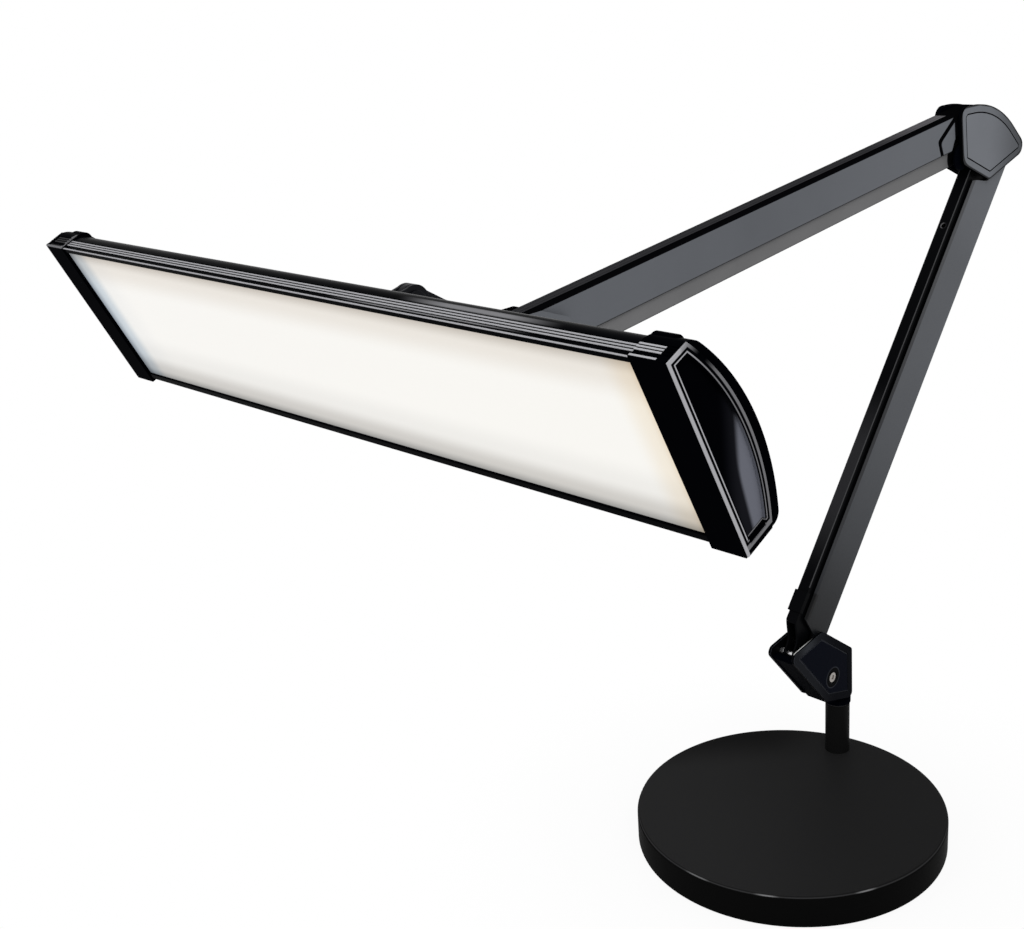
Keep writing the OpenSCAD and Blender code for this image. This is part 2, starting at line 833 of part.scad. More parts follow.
// Cap on the far end of the tilt pin
module yoke_cap_far() {
    color([0.12, 0.12, 0.125])
        on_post()
            translate([tilt_axis[0], -barrel_w / 2 - ear_gap, tilt_axis[1]])
                rotate([90, 0, 0])
                    cylinder(r = barrel_d / 2 - 3, h = ear_t / 2);
}

// Tilt pin through the barrel
module tilt_pin() {
    color([0.55, 0.55, 0.56])
        on_post()
            cross_bar(tilt_axis, tilt_pin_r, barrel_w + 2 * ear_gap);
}

// Outline of the head, set in by d, with its front at the given depth
function arc_pts(c, r, a0, a1, n) =
    [for (k = [0 : n]) c + r * [cos(a0 + (a1 - a0) * k / n), sin(a0 + (a1 - a0) * k / n)]];
function head_pts(d, front) =
    let (turn = 180 - atan2(back_rise, back_c[0] - crown[0]),
         end = 180 + atan2(back_c[1] - heel[1], back_c[0] - heel[0]))
    concat([[front, head_top - d]],
        arc_pts(crown, crown_r - d, 90, turn, 10),
        arc_pts(back_c, back_r - d, turn + 1, end - 1, 26),
        arc_pts(heel, heel_r - d, end, 270, 8),
        [[front, head_bot + d]]);

// Section of the head above a lower limit
module head_section(d, front, low) {
    intersection() {
        polygon(head_pts(d, front));
        translate([-2 * head_depth, low])
            square([3 * head_depth, 2 * head_h]);
    }
}

// Grooves that leave ribs standing along the top
module rib_grooves(top) {
    for (c = rib_cuts)
        translate([c[0], top - rib_h])
            square([c[1], 2 * rib_h]);
}

// Section of the raised end plate, set in by d
module plate_section(d) {
    intersection() {
        translate([plate_back_r - plate_depth, plate_z])
            circle(r = plate_back_r - d, $fn = 240);
        translate([-2 * plate_depth, head_bot + 0.8 + d])
            square([2 * plate_depth - 0.3 - d, head_h - 1.3 - 2 * d]);
    }
}

// Head mount: saddle on the back of the head with the two ears of the barrel
module head_mount() {
    saddle_t = 3;
    saddle_low = -36;
    saddle_high = 18;
    color([0.06, 0.06, 0.065])
        at_head()
            difference() {
                union() {
                    slab(-mount_w / 2, mount_w)
                        intersection() {
                            difference() {
                                polygon(head_pts(cap_proud - saddle_t, 0));
                                polygon(head_pts(cap_proud, 1));
                            }
                            translate([-2 * head_depth, saddle_low])
                                square([2 * head_depth, saddle_high - saddle_low]);
                        }
                    for (s = [-1, 1])
                        slab(s > 0 ? knuckle_w / 2 + ear_gap : -barrel_w / 2, ear_t)
                            difference() {
                                union() {
                                    translate([-head_fwd, -head_drop])
                                        circle(d = barrel_d);
                                    polygon([[-head_fwd, barrel_d / 2 - head_drop],
                                             [-head_depth + 2 * saddle_t, saddle_high - saddle_t],
                                             [-head_depth + 2 * saddle_t, saddle_low + saddle_t],
                                             [-head_fwd, -barrel_d / 2 - head_drop]]);
                                }
                                polygon(head_pts(cap_proud, 1));
                            }
                }
                cross_bar([-head_fwd, -head_drop], tilt_pin_r + run_fit, through);
            }
}

// Head shell: extruded channel with a curved back, ribbed top and lips that hold the diffuser
module head_shell() {
    color([0.06, 0.06, 0.065])
        at_head()
            difference() {
                slab(-shell_len / 2, shell_len)
                    difference() {
                        head_section(cap_proud, shell_front, shell_bot);
                        head_section(cap_proud + shell_wall, seat_x, shell_bot + shell_wall);
                        translate([seat_x - 1, shell_bot + lip_bot])
                            square([lip_t + 2, shell_top - lip_top - shell_bot - lip_bot]);
                        rib_grooves(shell_top);
                    }
                translate([-2 * head_depth, button_y, back_z])
                    rotate([0, 90, 0])
                        cylinder(d = button_d + 0.5, h = 1.8 * head_depth);
            }
}

// End cap: proud block with a raised end plate, a recessed panel, a lug and a plug in the extrusion
module head_cap(side) {
    lug_r = 5;
    lug = crown + (crown_r + 1.2 - lug_r) * [-sin(45), cos(45)];
    plug = 4;
    play = 0.1;
    difference() {
        union() {
            slab(side > 0 ? shell_len / 2 : plate_t - head_len / 2, cap_len - plate_t)
                difference() {
                    head_section(0, 0, head_bot);
                    rib_grooves(head_top);
                }
            slab(side > 0 ? head_len / 2 - 2 * plate_t : -head_len / 2, 2 * plate_t)
                plate_section(0);
            slab(side > 0 ? shell_len / 2 : -shell_len / 2 - lug_len, lug_len)
                translate(lug)
                    circle(r = lug_r);
            slab(side > 0 ? shell_len / 2 - plug : -shell_len / 2, plug)
                head_section(cap_proud + shell_wall + play, seat_x - diffuser_t - lip_t,
                    shell_bot + shell_wall + play);
        }
        slab(side > 0 ? head_len / 2 - 1.6 * plate_t : -head_len / 2 - plate_t, 2.6 * plate_t)
            plate_section(plate_rim);
    }
}

// End cap on the near side
module head_cap_near() {
    color([0.05, 0.05, 0.055])
        at_head()
            head_cap(1);
}

// End cap on the far side
module head_cap_far() {
    color([0.05, 0.05, 0.055])
        at_head()
            head_cap(-1);
}

// Diffuser: opal sheet held behind the lips
module diffuser() {
    color([0.96, 0.95, 0.92])
        at_head()
            translate([seat_x - diffuser_t, -shell_len / 2 + 0.2, shell_bot + shell_wall + 0.2])
                cube([diffuser_t, shell_len - 0.4, shell_top - shell_bot - 2 * shell_wall - 0.4]);
}

// Light board: strip of small light sources across the inside of the head
module led_board() {
    count = 24;
    step = (shell_len - 30) / count;
    color([0.85, 0.86, 0.84])
        at_head() {
            translate([-board_x, -shell_len / 2 + 6, shell_bot + shell_wall])
                cube([1.5, shell_len - 12, shell_top - shell_bot - 12]);
            for (i = [0 : count - 1])
                translate([-board_x + 1.5 - eps, -shell_len / 2 + 15 + (i + 0.5) * step - 2, -2])
                    cube([1, 4, 4]);
        }
}

// Switch body: cup against the inside of the back, bored for the push switch
module switch_body() {
    cup_r = button_d / 2 + 4;
    in_r = back_r - cap_proud - shell_wall;
    sag = in_r - sqrt(in_r * in_r - cup_r * cup_r);
    color([0.08, 0.08, 0.08])
        at_head()
            translate([-head_depth + cap_proud + shell_wall + sag, button_y, back_z])
                rotate([0, 90, 0])
                    difference() {
                        cylinder(r = cup_r, h = 9);
                        translate([0, 0, -1])
                            cylinder(d = button_d + 0.5, h = 6);
                    }
}

// Push switch in the back of the head
module switch_button() {
    color([0.15, 0.15, 0.155])
        at_head()
            translate([-head_depth - 1.5, button_y, back_z])
                rotate([0, 90, 0])
                    cylinder(d = button_d, h = cap_proud + shell_wall + 1.5 + 4.6 - button_travel - 0.4);
}

base_disc();
base_pad();
post_tube();
post_bolt();
swivel_washer();
turret_body();
turret_cover_near();
turret_cover_far();
turret_screw_near();
turret_screw_far();
lower_pin_outer();
lower_pin_inner();
lower_outer();
lower_inner();
elbow_core();
elbow_cover_near();
elbow_cover_far();
elbow_pin_a();
elbow_pin_b();
elbow_pin_c();
elbow_pin_d();
elbow_pad_near();
elbow_pad_far();
upper_outer();
upper_inner();
wrist_core();
wrist_cover_near();
wrist_cover_far();
wrist_pin_outer();
wrist_pin_inner();
yoke();
yoke_cap_near();
yoke_cap_far();
tilt_pin();
head_mount();
head_shell();
head_cap_near();
head_cap_far();
diffuser();
led_board();
switch_body();
switch_button();
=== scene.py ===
"""Desk lamp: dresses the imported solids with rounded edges, finishes, light and the photograph's camera."""
import json
import math

import bpy
from mathutils import Matrix, Vector


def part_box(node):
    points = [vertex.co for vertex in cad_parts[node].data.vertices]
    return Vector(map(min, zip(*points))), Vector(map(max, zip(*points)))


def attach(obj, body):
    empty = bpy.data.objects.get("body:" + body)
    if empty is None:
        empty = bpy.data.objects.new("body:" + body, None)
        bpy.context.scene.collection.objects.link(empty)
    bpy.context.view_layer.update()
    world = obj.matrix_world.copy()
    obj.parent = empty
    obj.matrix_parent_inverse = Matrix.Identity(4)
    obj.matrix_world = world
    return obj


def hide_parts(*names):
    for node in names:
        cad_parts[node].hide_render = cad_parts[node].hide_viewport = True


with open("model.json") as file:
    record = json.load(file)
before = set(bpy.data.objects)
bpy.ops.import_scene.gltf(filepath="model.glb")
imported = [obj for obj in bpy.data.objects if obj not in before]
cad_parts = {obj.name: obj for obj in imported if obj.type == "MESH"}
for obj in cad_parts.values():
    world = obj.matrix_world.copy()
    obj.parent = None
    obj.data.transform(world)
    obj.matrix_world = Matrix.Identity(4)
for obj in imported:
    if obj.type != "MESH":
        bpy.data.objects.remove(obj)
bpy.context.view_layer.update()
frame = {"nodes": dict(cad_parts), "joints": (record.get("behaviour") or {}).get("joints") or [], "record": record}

bl_info = {
    "name": "Desk lamp",
    "version": (1, 1, 0),
    "blender": (4, 5, 0),
    "location": "3D View > Sidebar > Desk lamp",
    "description": "Dresses a balanced-arm desk lamp with a wide light panel",
    "category": "Object",
}


def joint_place(name):
    """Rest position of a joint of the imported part."""
    for joint in frame["joints"]:
        if joint["name"] == name:
            return Vector(joint["pos_m"])
    raise RuntimeError("no joint named " + name)


def body_of_node(node):
    """Body that carries a node."""
    for body, nodes in frame["record"]["behaviour"]["bodies"].items():
        if node in nodes:
            return body
    raise RuntimeError("no body for " + node)


# Frames of the pieces that carry a pattern, painted light and painted shade, in metres and radians

LOWER_TURN = (0, math.radians(-37), 0)
LOWER_PIVOT = joint_place("lower_tilt")
LOWER_LINK_PIVOT = joint_place("lower_link_tilt")
UPPER_TURN = (0, math.radians(97.2), 0)
UPPER_PIVOT = joint_place("upper_tilt")
UPPER_LINK_PIVOT = joint_place("upper_link_tilt")
HEAD_TILT = math.radians(26.4)
HEAD_TURN = (0, HEAD_TILT, 0)
HEAD_FROM_TILT = Vector((0.0623, 0, 0.0023))
HEAD_MIDDLE = joint_place("head_tilt") + Matrix.Rotation(HEAD_TILT, 3, "Y") @ HEAD_FROM_TILT
ARM_MIDDLE = LOWER_PIVOT.y
WASHER = 0.0015
TURRET_FOOT = joint_place("swivel") - Vector((0, 0, WASHER))
ELBOW_PIVOT = joint_place("elbow_level")
# Turn of the base's frame, which faces its painted sheen, painted shade and painted glints to the camera
BASE_SHEEN_TURN = (0, 0, math.radians(48))

# Sizes that the finishes follow, in metres, and the slopes of a seam

ARM_HALF = 0.0076
WEB_BACK = 0.0098
UPPER_EDGE = 0.0172
UPPER_LINK_EDGE = 0.0112
LINK_HALF = 0.0046
LINK_FRONT = 0.0179
LINK_HOLE = 0.352
SEAM_START = 0.0414
SEAM_SLOPE = 1.82
SEAM_TURN = 0.0511
SEAM_RETURN = -0.272
SEAM_ROUND = 0.004
CAP_END = 0.25075
CAP_INNER = 0.23075
CAP_TOP = 0.05415
SHELL_TOP = 0.05275
RIB_BACK = -0.0087
PLATE_STEP = 0.0012
PLATE_FRONT = -0.0003
PLATE_HIGH = 0.0533
PLATE_LOW = -0.0525
LINE_LOW = -0.0489
PLATE_BACK_R = 0.1227
PLATE_BACK_MIDDLE = (0.0945, -0.005)
WINDOW_HALF = 0.23075
WINDOW_TOP = 0.0497
WINDOW_LOW = -0.047
TURRET_OUTLINE = (
    (0.0365, 0.0787), (-0.002, 0.0502), (-0.0029, 0.0071), (0.0313, 0.017), (0.0776, 0.0713),
)
TURRET_SCREW = (0.0233, 0.0347)
# Middle of the painted sheen on the border of the lower covers
TURRET_SHINE = (0.055, 0.072)
ELBOW_OUTLINE = (
    (0.072, 0.0459), (0.0453, 0.0459), (0.0289, 0.0429), (0.0134, 0.0371), (-0.0008, 0.0285),
    (-0.0301, 0.0029), (0.0271, -0.0142), (0.0665, 0.0033),
)
ELBOW_CORNERS = ((5, 0.02), (6, 0.0022), (7, 0.01))
ELBOW_BUMPER = (0.066, 0.0085)
COVER_FACE = 0.0118
COVER_BORDER = 0.0055
GROOVE_END = 0.0065


# Settings


class LampStageSettings(bpy.types.PropertyGroup):
    """Camera and light of the stage"""

    eye: bpy.props.FloatVectorProperty(
        name="Eye",
        description="Camera position, from the centre of the base",
        default=(0.7895, 0.5853, 0.6479),
        subtype="TRANSLATION",
        unit="LENGTH",
    )
    heading: bpy.props.FloatProperty(
        name="Heading",
        description="Direction of the camera seen from the lamp, from the arm plane",
        default=math.radians(47.77),
        subtype="ANGLE",
    )
    pitch: bpy.props.FloatProperty(
        name="Pitch",
        description="How far the camera looks down",
        default=math.radians(19.07),
        subtype="ANGLE",
    )
    roll: bpy.props.FloatProperty(
        name="Roll",
        description="Turn of the camera about its view line",
        default=math.radians(4.09),
        subtype="ANGLE",
    )
    lens: bpy.props.FloatProperty(
        name="Lens", description="Focal length on a 36 mm wide sensor", default=51.83, min=20, max=200
    )
    ambient: bpy.props.FloatProperty(
        name="Ambient", description="Strength of the light from all round", default=0.6, min=0, max=2
    )
    key: bpy.props.FloatProperty(
        name="Key", description="Power of the main softbox", default=13.5, min=0, max=200, unit="POWER"
    )
    fill: bpy.props.FloatProperty(
        name="Fill", description="Power of the side softbox", default=6.5, min=0, max=200, unit="POWER"
    )


class LampFinishSettings(bpy.types.PropertyGroup):
    """Colours and edge sizes of the lamp"""

    coat_black: bpy.props.FloatVectorProperty(
        name="Black coat",
        description="Colour of the base and post",
        default=(0.0034, 0.0034, 0.0034),
        subtype="COLOR",
    )
    joint_black: bpy.props.FloatVectorProperty(
        name="Joint black",
        description="Colour of the lower joint",
        default=(0.002, 0.0028, 0.0064),
        subtype="COLOR",
    )
    arm_grey: bpy.props.FloatVectorProperty(
        name="Arm grey",
        description="Colour of the outer arm channels",
        default=(0.118, 0.125, 0.139),
        subtype="COLOR",
    )
    cover_grey: bpy.props.FloatVectorProperty(
        name="Cover grey",
        description="Colour of the elbow and wrist covers",
        default=(0.158, 0.167, 0.185),
        subtype="COLOR",
    )
    head_black: bpy.props.FloatVectorProperty(
        name="Head black",
        description="Colour of the head and its end caps",
        default=(0.0006, 0.0007, 0.0013),
        subtype="COLOR",
    )
    # Tone of the painted highlights on the ribs and along the end outlines
    highlight_silver: bpy.props.FloatVectorProperty(
        name="Line silver",
        description="Bare metal of the ribs and the end outlines",
        default=(0.4, 0.4, 0.42),
        subtype="COLOR",
    )
    opal: bpy.props.FloatVectorProperty(
        name="Opal",
        description="Colour of the diffuser where it is brightest",
        default=(0.955, 0.94, 0.91),
        subtype="COLOR",
    )
    edge: bpy.props.FloatProperty(
        name="Edge",
        description="Rounding of the sharp sheet edges",
        default=0.0004,
        subtype="DISTANCE",
        unit="LENGTH",
    )
    cap_edge: bpy.props.FloatProperty(
        name="Cap edge",
        description="Rounding of the end caps' edges",
        default=0.0005,
        subtype="DISTANCE",
        unit="LENGTH",
    )


def look():
    """Colours and edge sizes that are set for the lamp."""
    return bpy.context.scene.lamp_finish


def shade(tone, factor):
    """Tone made darker or paler by a factor."""
    return [c * factor for c in tone]


# Limits of painted zones: from, to, and the softness of the ends

FAR = 1.0
CRISP = 0.00015


def above(limit, soft=CRISP):
    """Limits of a zone that has no upper end."""
    return limit, FAR, soft


def below(limit, soft=CRISP):
    """Limits of a zone that has no lower end."""
    return -FAR, limit, soft


# Node groups


def new_group(name, inputs, outputs):
    """New node group with its sockets; gives its nodes, its links and the sockets inside its two ends."""
    group = bpy.data.node_groups.new(name, "ShaderNodeTree")
    for title, default in inputs.items():
        kind = "NodeSocketFloat" if isinstance(default, float) else "NodeSocketVector"
        socket = group.interface.new_socket(name=title, in_out="INPUT", socket_type=kind)
        socket.default_value = default
    for title in outputs:
        group.interface.new_socket(name=title, in_out="OUTPUT", socket_type="NodeSocketFloat")
    enter = group.nodes.new("NodeGroupInput")
    leave = group.nodes.new("NodeGroupOutput")
    return group.nodes, group.links, enter.outputs, leave.inputs


def fine_grain_group():
    """Grain of a sprayed or anodised coat: a fine height, an uneven gloss and a slow shade."""
    inputs = {"Scale": 900.0, "Rough Low": 0.3, "Rough High": 0.4}
    nodes, links, enter, leave = new_group("fine_grain", inputs, ("Height", "Roughness", "Shade"))
    place = nodes.new("ShaderNodeTexCoord")
    grain = nodes.new("ShaderNodeTexNoise")
    grain.inputs["Detail"].default_value = 3.0
    slow = nodes.new("ShaderNodeTexNoise")
    slow.inputs["Scale"].default_value = 14.0
    slow.inputs["Detail"].default_value = 4.0
    rough = nodes.new("ShaderNodeMapRange")
    rough.inputs["From Min"].default_value = 0.3
    rough.inputs["From Max"].default_value = 0.7
    for noise in (grain, slow):
        links.new(place.outputs["Object"], noise.inputs["Vector"])
    links.new(enter["Scale"], grain.inputs["Scale"])
    links.new(slow.outputs["Fac"], rough.inputs["Value"])
    links.new(enter["Rough Low"], rough.inputs["To Min"])
    links.new(enter["Rough High"], rough.inputs["To Max"])
    links.new(grain.outputs["Fac"], leave["Height"])
    links.new(rough.outputs["Result"], leave["Roughness"])
    links.new(slow.outputs["Fac"], leave["Shade"])


def piece_place_group():
    """Place of a point in a piece's own frame, from the frame's origin and turn."""
    inputs = {"Origin": (0, 0, 0), "Turn": (0, 0, 0)}
    nodes, links, enter, leave = new_group("piece_place", inputs, "XYZ")
    place = nodes.new("ShaderNodeTexCoord")
    local = nodes.new("ShaderNodeMapping")
    local.vector_type = "TEXTURE"
    apart = nodes.new("ShaderNodeSeparateXYZ")
    links.new(place.outputs["Object"], local.inputs["Vector"])
    links.new(enter["Origin"], local.inputs["Location"])
    links.new(enter["Turn"], local.inputs["Rotation"])
    links.new(local.outputs["Vector"], apart.inputs["Vector"])
    for axis in "XYZ":
        links.new(apart.outputs[axis], leave[axis])


def band_group():
    """Mask that is 1 while a value lies between two limits, with soft ends."""
    inputs = {"Value": 0.0, "Low": 0.0, "High": 0.0, "Soft": CRISP}
    nodes, links, enter, leave = new_group("band", inputs, ("Mask",))
    both = nodes.new("ShaderNodeMath")
    both.operation = "MULTIPLY"
    for i, (limit, first, last) in enumerate((("Low", 0.0, 1.0), ("High", 1.0, 0.0))):
        side = nodes.new("ShaderNodeMapRange")
        side.interpolation_type = "SMOOTHSTEP"
        side.inputs["To Min"].default_value = first
        side.inputs["To Max"].default_value = last
        links.new(enter["Value"], side.inputs["Value"])
        for operation, end in (("SUBTRACT", "From Min"), ("ADD", "From Max")):
            edge = nodes.new("ShaderNodeMath")
            edge.operation = operation
            links.new(enter[limit], edge.inputs[0])
            links.new(enter["Soft"], edge.inputs[1])
            links.new(edge.outputs[0], side.inputs[end])
        links.new(side.outputs["Result"], both.inputs[i])
    links.new(both.outputs[0], leave["Mask"])


GROUPS = {"fine_grain": fine_grain_group, "piece_place": piece_place_group, "band": band_group}


# Materials while they are built


class Surface:
    """One material: its shader, and values, masks and colours that are worked out over the surface."""

    def __init__(self, name, rough, specular):
        self.material = bpy.data.materials.new(name)
        self.material.use_nodes = True
        self.nodes, self.links = self.material.node_tree.nodes, self.material.node_tree.links
        self.shader = self.nodes["Principled BSDF"]
        self.shader.inputs["Roughness"].default_value = rough
        self.shader.inputs["Specular IOR Level"].default_value = specular

    def feed(self, value, socket):
        """Links an output to a socket, or sets a plain value, place or colour on it."""
        if isinstance(value, bpy.types.NodeSocket):
            self.links.new(value, socket)
        elif isinstance(value, (int, float)):
            socket.default_value = value
        else:
            socket.default_value = (*value, 1)[:len(socket.default_value)]

    def group(self, name, values):
        """Outputs of a shared node group, which is made on first use, with the values on its inputs."""
        if name not in bpy.data.node_groups:
            GROUPS[name]()
        shared = self.nodes.new("ShaderNodeGroup")
        shared.node_tree = bpy.data.node_groups[name]
        for title, value in values.items():
            self.feed(value, shared.inputs[title])
        return shared.outputs

    def mix(self, mask, under, over, blend="MIX"):
        """Colour that goes from one tone to another by a mask."""
        node = self.nodes.new("ShaderNodeMix")
        node.data_type = "RGBA"
        node.blend_type = blend
        self.feed(mask, node.inputs["Factor"])
        self.feed(under, node.inputs["A"])
        self.feed(over, node.inputs["B"])
        return node.outputs["Result"]

    def times(self, tone, filter_tone):
        """Tone seen through a coloured filter."""
        return self.mix(1.0, tone, filter_tone, "MULTIPLY")

    def ramp(self, value, low, high, stops):
        """Colour that eases from stop to stop while a value goes from one limit to the other."""
        share = self.nodes.new("ShaderNodeMapRange")
        share.inputs["From Min"].default_value = low
        share.inputs["From Max"].default_value = high
        ramp = self.nodes.new("ShaderNodeValToRGB")
        ramp.color_ramp.interpolation = "EASE"
        first, last = ramp.color_ramp.elements
        first.position, first.color = stops[0][0], (*stops[0][1], 1)
        last.position, last.color = stops[-1][0], (*stops[-1][1], 1)
        for position, tone in stops[1:-1]:
            ramp.color_ramp.elements.new(position).color = (*tone, 1)
        self.links.new(value, share.inputs["Value"])
        self.links.new(share.outputs["Result"], ramp.inputs["Fac"])
        return ramp.outputs["Color"]

    def sum(self, operation, *values):
        """One step of arithmetic on values over the surface."""
        step = self.nodes.new("ShaderNodeMath")
        step.operation = operation
        for value, socket in zip(values, step.inputs):
            self.feed(value, socket)
        return step.outputs[0]

    def place(self, origin, turn=(0, 0, 0)):
        """Measures of the surface in a piece's own frame: X, Y, Z and the distance to either side."""
        here = dict(self.group("piece_place", {"Origin": origin, "Turn": turn}).items())
        here["side"] = self.sum("ABSOLUTE", here["Y"])
        return here

    def away(self, here, middle, axes="XZ"):
        """Distance from a point of the arm plane, or of the plane of other axes."""
        first, second = [self.sum("SUBTRACT", here[axis], at) for axis, at in zip(axes, middle)]
        return self.sum("SQRT", self.sum("MULTIPLY_ADD", first, first, self.sum("MULTIPLY", second, second)))

    def inset(self, here, outline, corners=()):
        """Distance in from a convex outline of the arm plane that runs from the top to the back.

        The corners that are listed with a smoothing length are rounded.
        """
        smooth = dict(corners)
        nearest = None
        for i, corner in enumerate(outline):
            ahead = Vector(outline[(i + 1) % len(outline)]) - Vector(corner)
            inward = Vector((-ahead.y, ahead.x)).normalized()
            start = -inward.dot(Vector(corner))
            edge = self.sum("MULTIPLY_ADD", here["Z"], inward.y, start)
            edge = self.sum("MULTIPLY_ADD", here["X"], inward.x, edge)
            if nearest is None:
                nearest = edge
            else:
                nearest = self.sum("SMOOTH_MIN", nearest, edge, smooth.get(i, 0.0))
        return nearest


# Spread of the roughness over a finish, and depth of its grain
ROUGH_LOW = 0.9
ROUGH_HIGH = 1.12
GRAIN_DEPTH = 0.0002

# Satin of the arms and the covers, with its thin clear coat
SATIN_ROUGH = 0.42
SATIN_COAT = 0.2


class Finish(Surface):
    """A finish with fine grain, over which tones are laid by masks and painted in zones of one place."""

    def __init__(self, name, tone, rough, specular, grain=1500.0, bump=0.06, metal=0.0, vary=0.15):
        super().__init__(name, rough, specular)
        self.here = {}
        self.shader.inputs["Metallic"].default_value = metal
        low, high = rough * ROUGH_LOW, min(rough * ROUGH_HIGH, 1.0)
        surface = self.group("fine_grain", {"Scale": grain, "Rough Low": low, "Rough High": high})
        relief = self.nodes.new("ShaderNodeBump")
        relief.inputs["Strength"].default_value = bump
        relief.inputs["Distance"].default_value = GRAIN_DEPTH
        self.links.new(surface["Roughness"], self.shader.inputs["Roughness"])
        self.links.new(surface["Height"], relief.inputs["Height"])
        self.links.new(relief.outputs["Normal"], self.shader.inputs["Normal"])
        self.tone = self.mix(surface["Shade"], shade(tone, 1 - vary), shade(tone, 1 + vary))

    def band(self, value, low, high, soft=CRISP):
        """Mask between two limits of a value."""
        return self.group("band", {"Value": value, "Low": low, "High": high, "Soft": soft})["Mask"]

    def both(self, first, second):
        """Mask where two masks meet."""
        return self.sum("MULTIPLY", first, second)

    def within(self, zone):
        """Mask of a zone, which sets limits to some of the measures of the finish's place."""
        bands = [self.band(self.here[measure], *limits) for measure, limits in zone.items()]
        mask = bands[0]
        for band in bands[1:]:
            mask = self.both(mask, band)
        return mask

    def either(self, *zones):
        """Mask of several zones together."""
        mask = self.within(zones[0])
        for zone in zones[1:]:
            mask = self.sum("MAXIMUM", mask, self.within(zone))
        return mask

    def lay(self, mask, tone, share=1.0):
        """Lays a tone, or a share of it, over the finish where the mask is."""
        if share < 1.0:
            mask = self.sum("MULTIPLY", mask, share)
        self.tone = self.mix(mask, self.tone, tone)

    def paint(self, zone, tone, share=1.0):
        """Lays a tone, or a share of it, over a zone of the finish."""
        self.lay(self.within(zone), tone, share)

    def gloss(self, mask, weight, rough):
        """Lays a thin clear coat over the finish where the mask is."""
        self.shader.inputs["Coat Roughness"].default_value = rough
        self.links.new(self.sum("MULTIPLY", mask, weight), self.shader.inputs["Coat Weight"])

    def matt(self, mask):
        """Leaves a satin finish without its clear coat where the mask is."""
        self.gloss(self.sum("SUBTRACT", 1.0, mask), SATIN_COAT, SATIN_ROUGH)

    def done(self):
        """Finished material."""
        self.links.new(self.tone, self.shader.inputs["Base Color"])
        return self.material


# Finishes, each with its zones in metres and its tones

# Black of the black parts, also laid as painted shade in recesses, grooves, gaps and interiors
BLACK_AND_SHADE = (0.0018, 0.0019, 0.0024)

# Base, measured from the middle of its top and turned to face the camera, with a painted sheen and painted shade
# on its top and a painted highlight with painted glints on its rim
BASE_SHADE = 0.8
BASE_TOP = {"Z": above(-0.0006, 0.0004)}
BASE_SHEEN_SIDE = {"Y": below(-0.025, 0.08)}
BASE_SHADE_BEHIND = {"X": below(-0.083, 0.025), "Y": below(0.03, 0.03)}
BASE_SHADE_BEHIND_SHARE = 0.75
BASE_TOP_SHEEN_TONE = (0.0145, 0.0145, 0.0148)
BASE_SHEEN_TONE = (0.0198, 0.0198, 0.0202)
# Painted highlight on the rim, with painted glints in arcs at its front
RIM = {"Z": (-0.0016, -0.0009, 0.0003)}
RIM_GLINT_FRONT = {"X": above(0.0)}
RIM_GLINTS = {"from_glints": (0.0285, 0.0395, 0.004)}
RIM_GLINTS_MIDDLE = -0.0045
RIM_LEFT_GLINT = {"Y": (-0.0875, -0.0765, 0.003)}
RIM_LEFT_GLINT_SHARE = 0.65
RIM_HIGHLIGHT_TONE = (0.03, 0.03, 0.031)
RIM_GLINT_TONE = (0.2, 0.2, 0.205)


def base_coat():
    """Powder coat of the base: a painted sheen on the top, palest at one side, painted shade behind, and a painted
    highlight on the rim with painted glints in arcs.
    """
    black = shade(look().coat_black, BASE_SHADE)
    finish = Finish("base_coat", black, rough=0.5, specular=0.006, grain=1600.0, bump=0.1)
    finish.here = finish.place((0, 0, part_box("base_disc")[1].z), BASE_SHEEN_TURN)
    # Painted sheen on the top, palest at one side, dimmed by painted shade behind
    top = finish.mix(finish.within(BASE_SHEEN_SIDE), BASE_TOP_SHEEN_TONE, BASE_SHEEN_TONE)
    behind = finish.sum("MULTIPLY", finish.within(BASE_SHADE_BEHIND), BASE_SHADE_BEHIND_SHARE)
    finish.paint(BASE_TOP, finish.mix(behind, top, black))
    # Painted highlight along the rim, with painted glints in three arcs at its front
    aside = finish.sum("SUBTRACT", finish.here["Y"], RIM_GLINTS_MIDDLE)
    finish.here["from_glints"] = finish.sum("ABSOLUTE", aside)
    left = finish.within(RIM_LEFT_GLINT)
    arcs = finish.sum("MULTIPLY_ADD", left, RIM_LEFT_GLINT_SHARE, finish.within(RIM_GLINTS))
    glints = finish.both(finish.within(RIM_GLINT_FRONT), arcs)
    finish.paint(RIM, finish.mix(glints, RIM_HIGHLIGHT_TONE, RIM_GLINT_TONE))
    return finish.done()


# Joint covers
# Walls and grooves of the covers, dark with painted shade
COVER_SHADED_WALLS = {"side": below(COVER_FACE - 0.00018, 0.00008)}
COVER_GRAIN = {"grain": 2200.0, "bump": 0.08}
# Painted shade: the wrist covers take a darker copy of the grey that the elbow covers take paler
WRIST_SHADE = 0.76


def shade_walls(finish):
    """Paints shade on all of a joint cover that lies below its outer face, and gives the mask of that."""
    walls = finish.within(COVER_SHADED_WALLS)
    finish.lay(walls, BLACK_AND_SHADE)
    return walls


def cover_satin():
    """Moulded wrist cover: a shaded copy of the covers' grey, with painted shade on its side walls and in the
    groove round its panel.
    """
    tone = shade(look().cover_grey, WRIST_SHADE)
    finish = Finish("cover_satin", tone, SATIN_ROUGH, specular=0.0, **COVER_GRAIN)
    finish.here = finish.place((0, ARM_MIDDLE, 0))
    finish.matt(shade_walls(finish))
    return finish.done()


